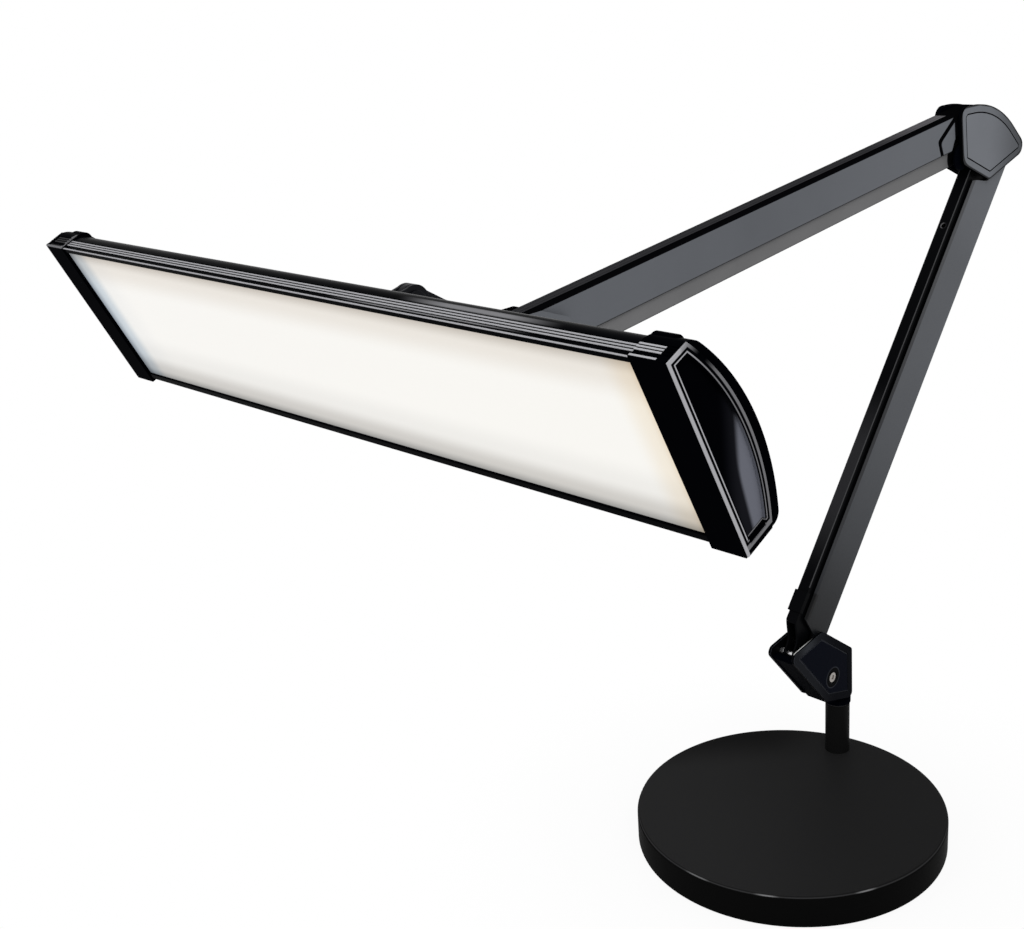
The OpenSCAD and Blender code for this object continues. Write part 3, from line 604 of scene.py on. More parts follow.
# Elbow covers: a paler copy of the covers' grey as painted light, with painted shade to the back, along the outer
# edge and on the walls
ELBOW_SHADE = 1.13
ELBOW_SHADED_BACK = {"X": below(0.005, 0.03)}
ELBOW_BACK_SHADE = 0.45
ELBOW_BACK_SHARE = 0.85
ELBOW_BORDER = {"inset": below(COVER_BORDER + 0.0004, 0.0004)}
BORDER_SHADE = 0.375
BORDER_FRONT_SHARE = 0.15
BORDER_BACK_SHARE = 0.9
ELBOW_RIM_SHADE = {"round_inset": below(0.0012, 0.0004)}
ELBOW_RIM_SHADE_SHARE = 0.92


def elbow_cover_satin():
    """Moulded elbow cover: a pale panel and a darker border, both with painted shade that deepens to the back, and
    painted shade along the outer edge and on the walls.
    """
    tone = shade(look().cover_grey, ELBOW_SHADE)
    finish = Finish("elbow_cover_satin", tone, SATIN_ROUGH, specular=0.0, **COVER_GRAIN)
    finish.here = finish.place(ELBOW_PIVOT)
    finish.here["inset"] = finish.inset(finish.here, ELBOW_OUTLINE)
    finish.here["round_inset"] = finish.inset(finish.here, ELBOW_OUTLINE, ELBOW_CORNERS)
    # Painted shade that deepens to the back, on the panel and more on the border
    shade_to_back = finish.within(ELBOW_SHADED_BACK)
    finish.lay(shade_to_back, shade(tone, ELBOW_BACK_SHADE), ELBOW_BACK_SHARE)
    dim = finish.sum("MULTIPLY_ADD", shade_to_back, BORDER_BACK_SHARE - BORDER_FRONT_SHARE, BORDER_FRONT_SHARE)
    finish.lay(finish.both(finish.within(ELBOW_BORDER), dim), shade(tone, BORDER_SHADE))
    # Painted shade along the outer edge
    finish.paint(ELBOW_RIM_SHADE, BLACK_AND_SHADE, ELBOW_RIM_SHADE_SHARE)
    finish.matt(shade_walls(finish))
    return finish.done()


# Lower joint, measured from its foot
# Painted light on the lower covers: the border paler in front with a painted sheen, a painted highlight streak on
# the inner edge and on the screw ring, and painted shade in the screw well
TURRET_LIT_FRONT = {"X": above(0.034, 0.016)}
TURRET_BORDER = {"inset": below(COVER_BORDER, 0.0004)}
TURRET_BORDER_SHINE = {"from_shine": below(0.007, 0.007)}
TURRET_GROOVE = {"inset": (COVER_BORDER, GROOVE_END), "side": above(0.0105)}
TURRET_STREAK_HIGHLIGHT = {
    "inset": below(0.0005),
    "side": below(0.0104),
    "X": (0.053, 0.074, 0.007),
    "Y": above(0.0),
    "Z": above(0.068),
}
SCREW_WELL_SHADE = {"from_screw": below(0.0079, 0.0003)}
SCREW_RING_HIGHLIGHT = {"from_screw": (0.0079, 0.0087)}
TURRET_BACK_TONE = (0.0028, 0.0032, 0.005)
TURRET_LIT_FRONT_TONE = (0.0125, 0.0135, 0.0165)
TURRET_SHINE_TONE = (0.031, 0.034, 0.04)
TURRET_GROOVE_TONE = (0.034, 0.036, 0.043)
TURRET_STREAK_HIGHLIGHT_TONE = (0.5, 0.51, 0.5)
TURRET_EDGE_HIGHLIGHT_TONE = (0.05, 0.053, 0.066)
SCREW_RING_HIGHLIGHT_TONE = (0.028, 0.03, 0.037)


def turret_cover_satin():
    """Moulded lower cover: near black panel, a border with painted light paler in front and a painted sheen,
    painted shade in the screw well, a painted highlight on the screw ring, a pale groove and a painted highlight
    streak on the inner edge.
    """
    finish = Finish("turret_cover_satin", look().joint_black, rough=0.38, specular=0.006, **COVER_GRAIN)
    finish.here = finish.place(TURRET_FOOT)
    finish.here["inset"] = finish.inset(finish.here, TURRET_OUTLINE)
    finish.here["from_shine"] = finish.away(finish.here, TURRET_SHINE)
    finish.here["from_screw"] = finish.away(finish.here, TURRET_SCREW)
    border = finish.mix(finish.within(TURRET_LIT_FRONT), TURRET_BACK_TONE, TURRET_LIT_FRONT_TONE)
    border = finish.mix(finish.within(TURRET_BORDER_SHINE), border, TURRET_SHINE_TONE)
    finish.paint(TURRET_BORDER, border)
    finish.paint(SCREW_WELL_SHADE, BLACK_AND_SHADE)
    finish.paint(SCREW_RING_HIGHLIGHT, SCREW_RING_HIGHLIGHT_TONE)
    shade_walls(finish)
    finish.paint(TURRET_GROOVE, TURRET_GROOVE_TONE)
    finish.paint(TURRET_STREAK_HIGHLIGHT, TURRET_STREAK_HIGHLIGHT_TONE)
    return finish.done()


def turret_edge():
    """Edge of the lower covers: black, with a painted highlight only in front."""
    finish = Finish("turret_edge", BLACK_AND_SHADE, rough=0.3, specular=0.004, grain=2200.0, bump=0.03)
    finish.here = finish.place(TURRET_FOOT)
    finish.paint(TURRET_LIT_FRONT, TURRET_EDGE_HIGHLIGHT_TONE)
    return finish.done()


# Upper arm, measured along Z from its pivot at the elbow
# Painted light near the elbow, painted shade along the low edge, inside, in the seam and at the elbow end, and a
# painted highlight on the top strip near the elbow
UPPER_LIT_NEAR_ELBOW = {"Z": below(0.15, 0.13)}
UPPER_LIT_NEAR_ELBOW_SHARE = 0.55
UPPER_SHADE_LINE = {"X": above(UPPER_EDGE - 0.0009)}
UPPER_SHADED_INSIDE = {"side": below(ARM_HALF - 0.0004)}
UPPER_TOP = {"X": below(-0.0079)}
UPPER_SEAM_SHADE = {"from_seam": (-0.0038, 0.0004, 0.0002)}
UPPER_SHADED_END = {"Z": below(0.0262, 0.0003)}
UPPER_STRIP = {"X": below(0.0004 - WEB_BACK), "Y": (-0.0062, 0.0026), "Z": above(0.03, 0.001)}
STRIP_HIGHLIGHT = {"Z": below(0.085, 0.045)}
UPPER_SHADE_LINE_TONE = (0.036, 0.038, 0.042)
STRIP_TONE = (0.033, 0.033, 0.036)
STRIP_HIGHLIGHT_TONE = (0.13, 0.126, 0.135)


def from_seam(finish):
    """Distance past the bent seam of the upper channel."""
    deep, along = finish.here["X"], finish.here["Z"]
    slope = finish.sum("SUBTRACT", along, finish.sum("MULTIPLY_ADD", deep, SEAM_SLOPE, SEAM_START))
    slope = finish.sum("DIVIDE", slope, math.hypot(SEAM_SLOPE, 1))
    turn = finish.sum("SUBTRACT", along, finish.sum("MULTIPLY_ADD", deep, SEAM_RETURN, SEAM_TURN))
    return finish.sum("SMOOTH_MAX", slope, turn, SEAM_ROUND)


def upper_channel_satin():
    """Upper outer channel: satin sides painted paler near the elbow as painted light, a painted shade line along
    the low edge, painted shade inside, in the seam and at the elbow end, and a pale strip along its black top with
    a painted highlight near the elbow.
    """
    finish = Finish("upper_channel_satin", look().arm_grey, SATIN_ROUGH, specular=0.0, grain=1800.0)
    finish.here = finish.place(UPPER_PIVOT, UPPER_TURN)
    finish.here["from_seam"] = from_seam(finish)
    finish.paint(UPPER_LIT_NEAR_ELBOW, look().cover_grey, UPPER_LIT_NEAR_ELBOW_SHARE)
    finish.paint(UPPER_SHADE_LINE, UPPER_SHADE_LINE_TONE)
    finish.paint(UPPER_SHADED_INSIDE, BLACK_AND_SHADE)
    # Black top, with painted shade in the seam and at the elbow end
    black = finish.either(UPPER_TOP, UPPER_SEAM_SHADE, UPPER_SHADED_END)
    finish.lay(black, BLACK_AND_SHADE)
    finish.matt(black)
    strip = finish.within(UPPER_STRIP)
    finish.lay(strip, STRIP_TONE)
    finish.lay(finish.both(strip, finish.within(STRIP_HIGHLIGHT)), STRIP_HIGHLIGHT_TONE)
    return finish.done()


# Lower arm, measured along Z from its pivot at the foot
# Painted shade: a darker copy of the arm grey, deepening to the foot, with painted light near the elbow and on the
# upper bevel
LOWER_SHADE = 0.81
LOWER_SHADED_FOOT = {"Z": below(0.115, 0.155)}
LOWER_SHADED_FOOT_SHARE = 0.95
LOWER_SHADED_TOE = {"Z": below(0.04, 0.05)}
LOWER_LIT_NEAR_ELBOW = {"Z": above(0.345, 0.03)}
LOWER_SHADED_BEVEL = {"X": above(0.0241), "Z": above(0.07, 0.03)}
LOWER_BEVEL_LIT = {"Z": above(0.255, 0.09)}
LOWER_FRONT_SHADE = {"X": above(0.0215), "Z": (0.016, 0.037, 0.001)}
LOWER_SHADED_INSIDE = {"side": below(0.0062)}
LOWER_SHADED_FOOT_TONE = (0.009, 0.0097, 0.0117)
LOWER_SHADED_TOE_TONE = (0.0045, 0.005, 0.006)
BEVEL_SHADE_TONE = (0.034, 0.035, 0.038)
BEVEL_LIT_TONE = (0.076, 0.078, 0.083)


def lower_channel_satin():
    """Lower outer channel: a shaded copy of the arm grey, with painted shade that deepens to the foot, painted
    light near the elbow, a bevel with painted shade that lightens towards the elbow, and painted shade in front of
    the foot and inside.
    """
    grey = look().arm_grey
    tone = shade(grey, LOWER_SHADE)
    finish = Finish("lower_channel_satin", tone, SATIN_ROUGH, specular=0.1, grain=1800.0)
    finish.here = finish.place(LOWER_PIVOT, LOWER_TURN)
    finish.paint(LOWER_SHADED_FOOT, LOWER_SHADED_FOOT_TONE, LOWER_SHADED_FOOT_SHARE)
    finish.paint(LOWER_SHADED_TOE, LOWER_SHADED_TOE_TONE)
    finish.paint(LOWER_LIT_NEAR_ELBOW, grey)
    finish.paint(LOWER_SHADED_BEVEL, finish.mix(finish.within(LOWER_BEVEL_LIT), BEVEL_SHADE_TONE, BEVEL_LIT_TONE))
    finish.paint(LOWER_FRONT_SHADE, BLACK_AND_SHADE)
    finish.paint(LOWER_SHADED_INSIDE, BLACK_AND_SHADE)
    return finish.done()


# Inner channels of the two arms
LINK_FACE = above(LINK_FRONT - 0.0008)
# Painted sheen on the lower link's face, painted highlights on its web edges and on one side of its hole rim
LINK_SHINE = {"X": LINK_FACE, "Z": (0.09, 0.19, 0.032)}
LINK_EDGE_HIGHLIGHTS = {"X": LINK_FACE, "side": above(LINK_HALF - 0.0004), "Z": above(0.05)}
HOLE_RIM = {"X": LINK_FACE, "from_hole": (0.0017, 0.0025)}
HOLE_LIT_SIDE = {"Y": below(-0.0003, 0.001)}
LINK_SHINE_TONE = (0.022, 0.022, 0.024)
LINK_EDGE_HIGHLIGHT_TONE = (0.06, 0.06, 0.063)
HOLE_RIM_TONE = (0.014, 0.014, 0.016)
HOLE_HIGHLIGHT_TONE = (0.12, 0.12, 0.125)
# Painted shade along the upper link's low edge and inside it
UPPER_LINK_SHADE_LINE = {"X": above(UPPER_LINK_EDGE - 0.0006)}
UPPER_LINK_SHADED_INSIDE = {"side": below(0.0042), "X": below(0.0104)}
UPPER_LINK_BUMPER = {"from_bumper": below(0.0122, 0.0003)}
UPPER_LINK_TONE = (0.149, 0.149, 0.152)
UPPER_LINK_SHADE_LINE_TONE = (0.06, 0.06, 0.062)


def lower_link_black():
    """Lower inner channel: black, with a painted sheen on its face, painted highlights as thin lines on the edges
    of its web, and a hole rim with a painted highlight on one side.
    """
    finish = Finish("lower_link_black", BLACK_AND_SHADE, rough=0.34, specular=0.012, grain=1800.0)
    finish.here = finish.place(LOWER_LINK_PIVOT, LOWER_TURN)
    finish.here["from_hole"] = finish.away(finish.here, (0.0, LINK_HOLE), "YZ")
    finish.paint(LINK_SHINE, LINK_SHINE_TONE)
    finish.paint(LINK_EDGE_HIGHLIGHTS, LINK_EDGE_HIGHLIGHT_TONE)
    finish.paint(HOLE_RIM, finish.mix(finish.within(HOLE_LIT_SIDE), HOLE_RIM_TONE, HOLE_HIGHLIGHT_TONE))
    return finish.done()


def upper_link_satin():
    """Upper inner channel: satin outside with a painted shade line on its low edge, painted shade inside, and dark
    round the bumper.
    """
    finish = Finish("upper_link_satin", UPPER_LINK_TONE, SATIN_ROUGH, specular=0.1, grain=1800.0, vary=0.26)
    finish.here = finish.place(UPPER_LINK_PIVOT, UPPER_TURN)
    finish.here["from_bumper"] = finish.away(finish.place(ELBOW_PIVOT), ELBOW_BUMPER)
    finish.paint(UPPER_LINK_SHADE_LINE, UPPER_LINK_SHADE_LINE_TONE)
    finish.paint(UPPER_LINK_SHADED_INSIDE, BLACK_AND_SHADE)
    finish.paint(UPPER_LINK_BUMPER, BLACK_AND_SHADE)
    return finish.done()


# Head, measured from its middle
# Painted highlights on the rib tops and two soft painted reflections along the top
HEAD_RIB_HIGHLIGHTS = {"Z": above(SHELL_TOP - 0.00025), "X": above(RIB_BACK)}
HEAD_RIB_HIGHLIGHT_SHADE = 0.88
HEAD_REFLECTION_SHADE = 0.5
HEAD_REFLECTIONS = (
    {"X": (-0.0126, -0.0096, 0.0006), "Y": (0.098, 0.168, 0.02), "Z": above(0.04)},
    {"X": (-0.004, -0.0033, 0.0002), "Y": (0.05, 0.155, 0.02), "Z": above(0.04)},
)
HEAD_BEHIND = {"Z": below(0.034, 0.012), "X": below(-0.009, 0.002)}
HEAD_BEHIND_TONE = (0.0045, 0.0046, 0.0055)


def gloss_behind(finish, zone):
    """Brighter gloss and a paler black on the curved back of the head."""
    behind = finish.within(zone)
    finish.lay(behind, HEAD_BEHIND_TONE)
    finish.gloss(behind, weight=0.24, rough=0.22)


def head_gloss():
    """Gloss black extrusion: painted highlights on the rib tops, two soft painted reflections along its top, and a
    brighter gloss behind.
    """
    silver = look().highlight_silver
    finish = Finish("head_gloss", look().head_black, rough=0.22, specular=0.003, grain=1200.0, bump=0.02)
    finish.here = finish.place(HEAD_MIDDLE, HEAD_TURN)
    finish.paint(HEAD_RIB_HIGHLIGHTS, shade(silver, HEAD_RIB_HIGHLIGHT_SHADE))
    for reflection in HEAD_REFLECTIONS:
        finish.paint(reflection, shade(silver, HEAD_REFLECTION_SHADE))
    gloss_behind(finish, HEAD_BEHIND)
    return finish.done()


# End caps: the raised plate with its two painted highlight lines, and the panel sunk into it
CAP_DIM_HIGHLIGHT_SHADE = 0.42
CAP_FAR_RIB_SHADE = 0.1
# Painted highlights on the ribs, with a shaded copy on the far cap, and on the far cap's edges
CAP_NEAR = {"Y": above(0.0)}
CAP_RIB_HIGHLIGHTS = {"X": (RIB_BACK, -0.0006), "Z": above(CAP_TOP - 0.00025), "side": below(CAP_END - 0.006)}
CAP_FAR_INNER_HIGHLIGHT = {
    "X": above(2 * RIB_BACK),
    "Y": below(0.0),
    "Z": above(CAP_TOP - 0.0007),
    "side": below(CAP_INNER + 0.0012),
}
CAP_FAR_FRONT_HIGHLIGHT = {"X": above(-0.0009), "Y": below(0.0), "Z": above(CAP_TOP - 0.0009)}
CAP_BEHIND = {**HEAD_BEHIND, "side": below(CAP_END - 0.0034)}
PLATE_END = above(CAP_END - 0.5 * PLATE_STEP)
PLATE_FRONT_EDGE = (PLATE_FRONT - 0.0014, PLATE_FRONT + 0.001)
HIGHLIGHT_FRONT = {"X": PLATE_FRONT_EDGE}
HIGHLIGHT_UPPER = {"X": above(-0.014, 0.008), "Z": above(LINE_LOW + 0.004)}
OUTER_HIGHLIGHT_LINE = {"side": PLATE_END, "inset": (-0.001, 0.0014)}
OUTER_HIGHLIGHT_TAIL = {"side": PLATE_END, "X": PLATE_FRONT_EDGE, "Z": (PLATE_LOW, LINE_LOW)}
OUTER_HIGHLIGHT_GAP = {"side": PLATE_END, "X": below(-0.009, 0.001), "Z": (0.035, 0.0508, 0.006)}
INNER_INSET = (0.0027, 0.0033, 0.0001)
INNER_HIGHLIGHT_LINE = {"side": above(CAP_END - 0.0003), "inset": INNER_INSET}
SUNK = (CAP_END - 0.0025, CAP_END - 0.0003)
SUNK_HIGHLIGHT_LINE = {"side": SUNK, "inset": INNER_INSET, "Z": below(LINE_LOW + 0.0036)}
PANEL = {"side": SUNK, "inset": above(0.0036)}
# Painted reflection that greys the sunk panel low down
PANEL_REFLECTION_DIM = {**PANEL, "slanted": below(-0.0165, 0.007)}
PANEL_REFLECTION_GREY = {**PANEL, "slanted": below(-0.0216, 0.0022), "upright": below(-0.017, 0.0014)}
PANEL_SLANTS = {"slanted": 0.42, "upright": 0.144}
PANEL_REFLECTION_DIM_TONE = (0.0085, 0.0088, 0.0115)
PANEL_REFLECTION_GREY_TONE = (0.14, 0.146, 0.175)


def plate_inset(finish):
    """Distance in from the outline of the raised end plate."""
    back = finish.sum("SUBTRACT", PLATE_BACK_R, finish.away(finish.here, PLATE_BACK_MIDDLE))
    front = finish.sum("SUBTRACT", PLATE_FRONT, finish.here["X"])
    top = finish.sum("SUBTRACT", PLATE_HIGH, finish.here["Z"])
    low = finish.sum("SUBTRACT", finish.here["Z"], LINE_LOW)
    return finish.sum("MINIMUM", finish.sum("MINIMUM", back, front), finish.sum("MINIMUM", top, low))


def cap_gloss():
    """Gloss black end caps: painted highlights on the rib tops and on the far cap's edges, two painted highlight
    lines round the end panel, and a painted reflection greying the panel low down.
    """
    black, silver = look().head_black, look().highlight_silver
    dim_highlight = shade(silver, CAP_DIM_HIGHLIGHT_SHADE)
    finish = Finish("cap_gloss", black, rough=0.18, specular=0.0004, grain=1200.0, bump=0.02)
    finish.here = finish.place(HEAD_MIDDLE, HEAD_TURN)
    finish.here["inset"] = plate_inset(finish)
    for name, slant in PANEL_SLANTS.items():
        finish.here[name] = finish.sum("MULTIPLY_ADD", finish.here["Z"], slant, finish.here["X"])
    finish.paint(CAP_RIB_HIGHLIGHTS, finish.mix(finish.within(CAP_NEAR), shade(silver, CAP_FAR_RIB_SHADE), silver))
    finish.paint(CAP_FAR_INNER_HIGHLIGHT, dim_highlight)
    finish.paint(CAP_FAR_FRONT_HIGHLIGHT, dim_highlight)
    line = finish.mix(finish.either(HIGHLIGHT_FRONT, HIGHLIGHT_UPPER), dim_highlight, silver)
    finish.paint(OUTER_HIGHLIGHT_LINE, line)
    finish.paint(OUTER_HIGHLIGHT_TAIL, silver)
    finish.paint(OUTER_HIGHLIGHT_GAP, black)
    finish.paint(INNER_HIGHLIGHT_LINE, line)
    finish.paint(SUNK_HIGHLIGHT_LINE, dim_highlight)
    finish.paint(PANEL_REFLECTION_DIM, PANEL_REFLECTION_DIM_TONE)
    finish.paint(PANEL_REFLECTION_GREY, PANEL_REFLECTION_GREY_TONE)
    gloss_behind(finish, CAP_BEHIND)
    return finish.done()


# Diffuser: stops of its light along the head and up the window, and the tone of the sheet itself
OPAL_GLOW = 0.645
OPAL_SHEET = (0.36, 0.36, 0.35)
OPAL_ALONG = (
    (0.0, (0.34, 0.39, 0.46)),
    (0.02, (0.62, 0.69, 0.77)),
    (0.05, (0.93, 0.935, 0.95)),
    (0.11, (0.98, 0.98, 0.985)),
    (0.95, (1, 1, 1)),
    (0.985, (0.95, 0.89, 0.8)),
    (1.0, (0.86, 0.73, 0.57)),
)
OPAL_UP = (
    (0.0, (0.42, 0.42, 0.42)),
    (0.07, (0.66, 0.65, 0.64)),
    (0.2, (0.91, 0.91, 0.91)),
    (0.38, (1, 1, 1)),
    (0.72, (1, 1, 1)),
    (0.9, (0.88, 0.85, 0.82)),
    (1.0, (0.6, 0.56, 0.52)),
)


def opal_lit():
    """Lit opal sheet: its glow falls off towards its edges, and its tone with it as painted shade under the lips
    of the shell; cool at the far end and warm at the near end.
    """
    sheet = Surface("opal_lit", rough=0.5, specular=0.1)
    here = sheet.place(HEAD_MIDDLE, HEAD_TURN)
    along = sheet.ramp(here["Y"], -WINDOW_HALF, WINDOW_HALF, OPAL_ALONG)
    up = sheet.ramp(here["Z"], WINDOW_LOW, WINDOW_TOP, OPAL_UP)
    glow = sheet.times(sheet.times(along, up), look().opal)
    sheet.shader.inputs["Emission Strength"].default_value = OPAL_GLOW
    sheet.links.new(glow, sheet.shader.inputs["Emission Color"])
    sheet.links.new(sheet.times(glow, OPAL_SHEET), sheet.shader.inputs["Base Color"])
    return sheet.material


# Plainer finishes
# Painted light: the post takes a paler copy of the coat black than the base's sides
POST_SHADE = 1.9
# Painted shade: the bracket and the elbow pads between the covers take a darker copy of the joint black
BRACKET_SHADE = 0.4


def plain_finish(name):
    """One of the lamp's plainer finishes, by name."""
    if name in bpy.data.materials:
        return bpy.data.materials[name]
    post = shade(look().coat_black, POST_SHADE)
    bracket = shade(look().joint_black, BRACKET_SHADE)
    recipes = {
        "post_coat": dict(tone=post, rough=0.45, specular=0.015, bump=0.08),
        "joint_black": dict(tone=bracket, rough=0.34, specular=0.0008, grain=2200.0),
        "joint_satin": dict(tone=(0.006, 0.0063, 0.008), rough=0.36, specular=0.05, grain=2200.0),
        "hood_satin": dict(tone=(0.0038, 0.0042, 0.006), rough=0.36, specular=0.008, grain=2200.0),
        "steel_bright": dict(
            tone=(0.62, 0.62, 0.63), rough=0.28, specular=0.5, metal=1.0, grain=2500.0, bump=0.03
        ),
        "steel_aged": dict(
            tone=(0.3, 0.28, 0.26), rough=0.36, specular=0.5, metal=1.0, grain=900.0, bump=0.3, vary=0.4
        ),
        "rubber_pad": dict(tone=(0.012, 0.012, 0.012), rough=0.8, specular=0.1, grain=700.0, bump=0.4),
        "nylon_grey": dict(tone=(0.02, 0.02, 0.021), rough=0.5, specular=0.1, grain=900.0),
        "board_mask": dict(tone=(0.7, 0.71, 0.69), rough=0.45, specular=0.3, grain=700.0),
        "switch_satin": dict(tone=(0.011, 0.011, 0.012), rough=0.45, specular=0.15, bump=0.1),
    }
    return Finish(name, **recipes[name]).done()


# Modelling

WELD = 0.000004
FLAT = math.radians(0.4)
SHARP = math.radians(28)
SMOOTH = math.radians(35)
SIDES = ("near", "far")


def deselect_all():
    """Leaves nothing selected and no active object."""
    if bpy.context.object and bpy.context.object.mode != "OBJECT":
        bpy.ops.object.mode_set(mode="OBJECT")
    bpy.ops.object.select_all(action="DESELECT")
    bpy.context.view_layer.objects.active = None


def paint_nodes(material, *nodes):
    """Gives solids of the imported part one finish."""
    for node in nodes:
        solid = frame["nodes"][node]
        solid.data.materials.clear()
        solid.data.materials.append(material)


def rounded_copy(node, name, width, material, edge_material=None, segments=2):
    """Copy of a solid with its flat faces joined and its sharp edges rounded; it stands for the solid."""
    piece = bpy.data.objects.new(name, frame["nodes"][node].data.copy())
    bpy.context.scene.collection.objects.link(piece)
    piece.data.materials.clear()
    piece.data.materials.append(material)
    deselect_all()
    piece.select_set(True)
    bpy.context.view_layer.objects.active = piece
    bpy.ops.object.mode_set(mode="EDIT")
    bpy.ops.mesh.select_all(action="SELECT")
    bpy.ops.mesh.remove_doubles(threshold=WELD)
    bpy.ops.mesh.dissolve_limited(angle_limit=FLAT)
    bpy.ops.object.mode_set(mode="OBJECT")
    edge = piece.modifiers.new("edge", "BEVEL")
    edge.width = width
    edge.segments = segments
    edge.limit_method = "ANGLE"
    edge.angle_limit = SHARP
    edge.use_clamp_overlap = True
    if edge_material:
        piece.data.materials.append(edge_material)
        edge.material = 1
    bpy.ops.object.modifier_apply(modifier=edge.name)
    bpy.ops.object.shade_smooth_by_angle(angle=SMOOTH)
    flat = piece.modifiers.new("flat", "WEIGHTED_NORMAL")
    flat.keep_sharp = True
    bpy.ops.object.modifier_apply(modifier=flat.name)
    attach(piece, body_of_node(node))
    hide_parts(node)


# Pieces, with their roundings in times the edge that is set, and the button's in metres

TURRET_COVER_EDGE = 1.5
COVER_EDGE = 2.0
SHELL_EDGE = 0.4
BUTTON_EDGE = 0.0007


class LAMP_OT_base(bpy.types.Operator):
    """Finish the base disc, its pad, the post and its fixings"""

    bl_idname = "lamp.base"
    bl_label = "Base and post"

    def execute(self, context):
        paint_nodes(base_coat(), "base_disc")
        paint_nodes(plain_finish("rubber_pad"), "base_pad")
        paint_nodes(plain_finish("post_coat"), "post_tube")
        paint_nodes(plain_finish("steel_bright"), "post_bolt")
        paint_nodes(plain_finish("nylon_grey"), "swivel_washer")
        return {"FINISHED"}


class LAMP_OT_turret(bpy.types.Operator):
    """Round and finish the swivelling lower joint"""

    bl_idname = "lamp.turret"
    bl_label = "Lower joint"

    def execute(self, context):
        edge = look().edge
        cover_edge = TURRET_COVER_EDGE * edge
        satin, bright = turret_cover_satin(), turret_edge()
        for side in SIDES:
            rounded_copy("turret_cover_" + side, "turret_plate_" + side, cover_edge, satin, bright)
        rounded_copy("turret_body", "turret_bracket", edge, plain_finish("joint_black"))
        paint_nodes(plain_finish("steel_aged"), "turret_screw_near", "turret_screw_far")
        paint_nodes(plain_finish("steel_bright"), "lower_pin_outer", "lower_pin_inner")
        return {"FINISHED"}


class LAMP_OT_arms(bpy.types.Operator):
    """Round and finish the four arm channels"""

    bl_idname = "lamp.arms"
    bl_label = "Arm channels"

    def execute(self, context):
        edge = look().edge
        rounded_copy("lower_outer", "lower_channel", edge, lower_channel_satin())
        rounded_copy("lower_inner", "lower_link_bar", edge, lower_link_black())
        rounded_copy("upper_outer", "upper_channel", edge, upper_channel_satin())
        rounded_copy("upper_inner", "upper_link_bar", edge, upper_link_satin())
        return {"FINISHED"}


class LAMP_OT_elbow(bpy.types.Operator):
    """Round and finish the elbow"""

    bl_idname = "lamp.elbow"
    bl_label = "Elbow"

    def execute(self, context):
        edge = look().edge
        satin = elbow_cover_satin()
        for side in SIDES:
            rounded_copy("elbow_cover_" + side, "elbow_plate_" + side, COVER_EDGE * edge, satin)
        rounded_copy("elbow_core", "elbow_hood", edge, plain_finish("hood_satin"))
        paint_nodes(plain_finish("joint_black"), "elbow_pad_near", "elbow_pad_far")
        paint_nodes(plain_finish("steel_bright"), *("elbow_pin_" + pin for pin in "abcd"))
        return {"FINISHED"}


class LAMP_OT_wrist(bpy.types.Operator):
    """Round and finish the wrist and the yoke behind the head"""

    bl_idname = "lamp.wrist"
    bl_label = "Wrist and yoke"

    def execute(self, context):
        edge = look().edge
        satin, black = cover_satin(), plain_finish("joint_satin")
        for side in SIDES:
            rounded_copy("wrist_cover_" + side, "wrist_plate_" + side, COVER_EDGE * edge, satin)
        rounded_copy("wrist_core", "wrist_block", edge, black)
        rounded_copy("yoke", "yoke_tongue", edge, black)
        for side in SIDES:
            rounded_copy("yoke_cap_" + side, "barrel_cap_" + side, edge, black, segments=3)
        rounded_copy("head_mount", "head_saddle", edge, black)
        paint_nodes(plain_finish("steel_bright"), "wrist_pin_outer", "wrist_pin_inner", "tilt_pin")
        return {"FINISHED"}


class LAMP_OT_head(bpy.types.Operator):
    """Round and finish the head extrusion and its end caps"""

    bl_idname = "lamp.head"
    bl_label = "Head"

    def execute(self, context):
        gloss = cap_gloss()
        rounded_copy("head_shell", "head_extrusion", SHELL_EDGE * look().edge, head_gloss())
        for side in SIDES:
            rounded_copy("head_cap_" + side, "end_cap_" + side, look().cap_edge, gloss, segments=3)
        paint_nodes(plain_finish("board_mask"), "led_board")
        return {"FINISHED"}


class LAMP_OT_diffuser(bpy.types.Operator):
    """Light the opal diffuser"""

    bl_idname = "lamp.diffuser"
    bl_label = "Diffuser"

    def execute(self, context):
        paint_nodes(opal_lit(), "diffuser")
        return {"FINISHED"}


class LAMP_OT_switch(bpy.types.Operator):
    """Round and finish the push switch"""

    bl_idname = "lamp.switch"
    bl_label = "Push switch"

    def execute(self, context):
        black = plain_finish("switch_satin")
        rounded_copy("switch_button", "push_switch", BUTTON_EDGE, black, segments=3)
        paint_nodes(black, "switch_body")
        return {"FINISHED"}


# Stage

SENSOR_WIDTH = 36.0
FLOOR_SIZE = 12
FLOOR_TONE = (0.9, 0.9, 0.9)
SHADOW_REACH = (0.1, 0.3)
SHADOW_WHITE = 0.93
LIGHT_TARGET = (0.1, 0.0, 0.35)
KEY_PLACE = (0.9, 1.3, 1.7)
KEY_SIZE = 0.9
FILL_PLACE = (1.7, -0.4, 1.0)
FILL_SIZE = 0.8


def seen_rays(nodes, links):
    """Mask of the rays that see the background: camera, glossy and transmission rays."""
    rays = nodes.new("ShaderNodeLightPath")
    seen = rays.outputs["Is Camera Ray"]
    for name in ("Is Glossy Ray", "Is Transmission Ray"):
        more = nodes.new("ShaderNodeMath")
        more.operation = "MAXIMUM"
        links.new(seen, more.inputs[0])
        links.new(rays.outputs[name], more.inputs[1])
        seen = more.outputs[0]
    return seen


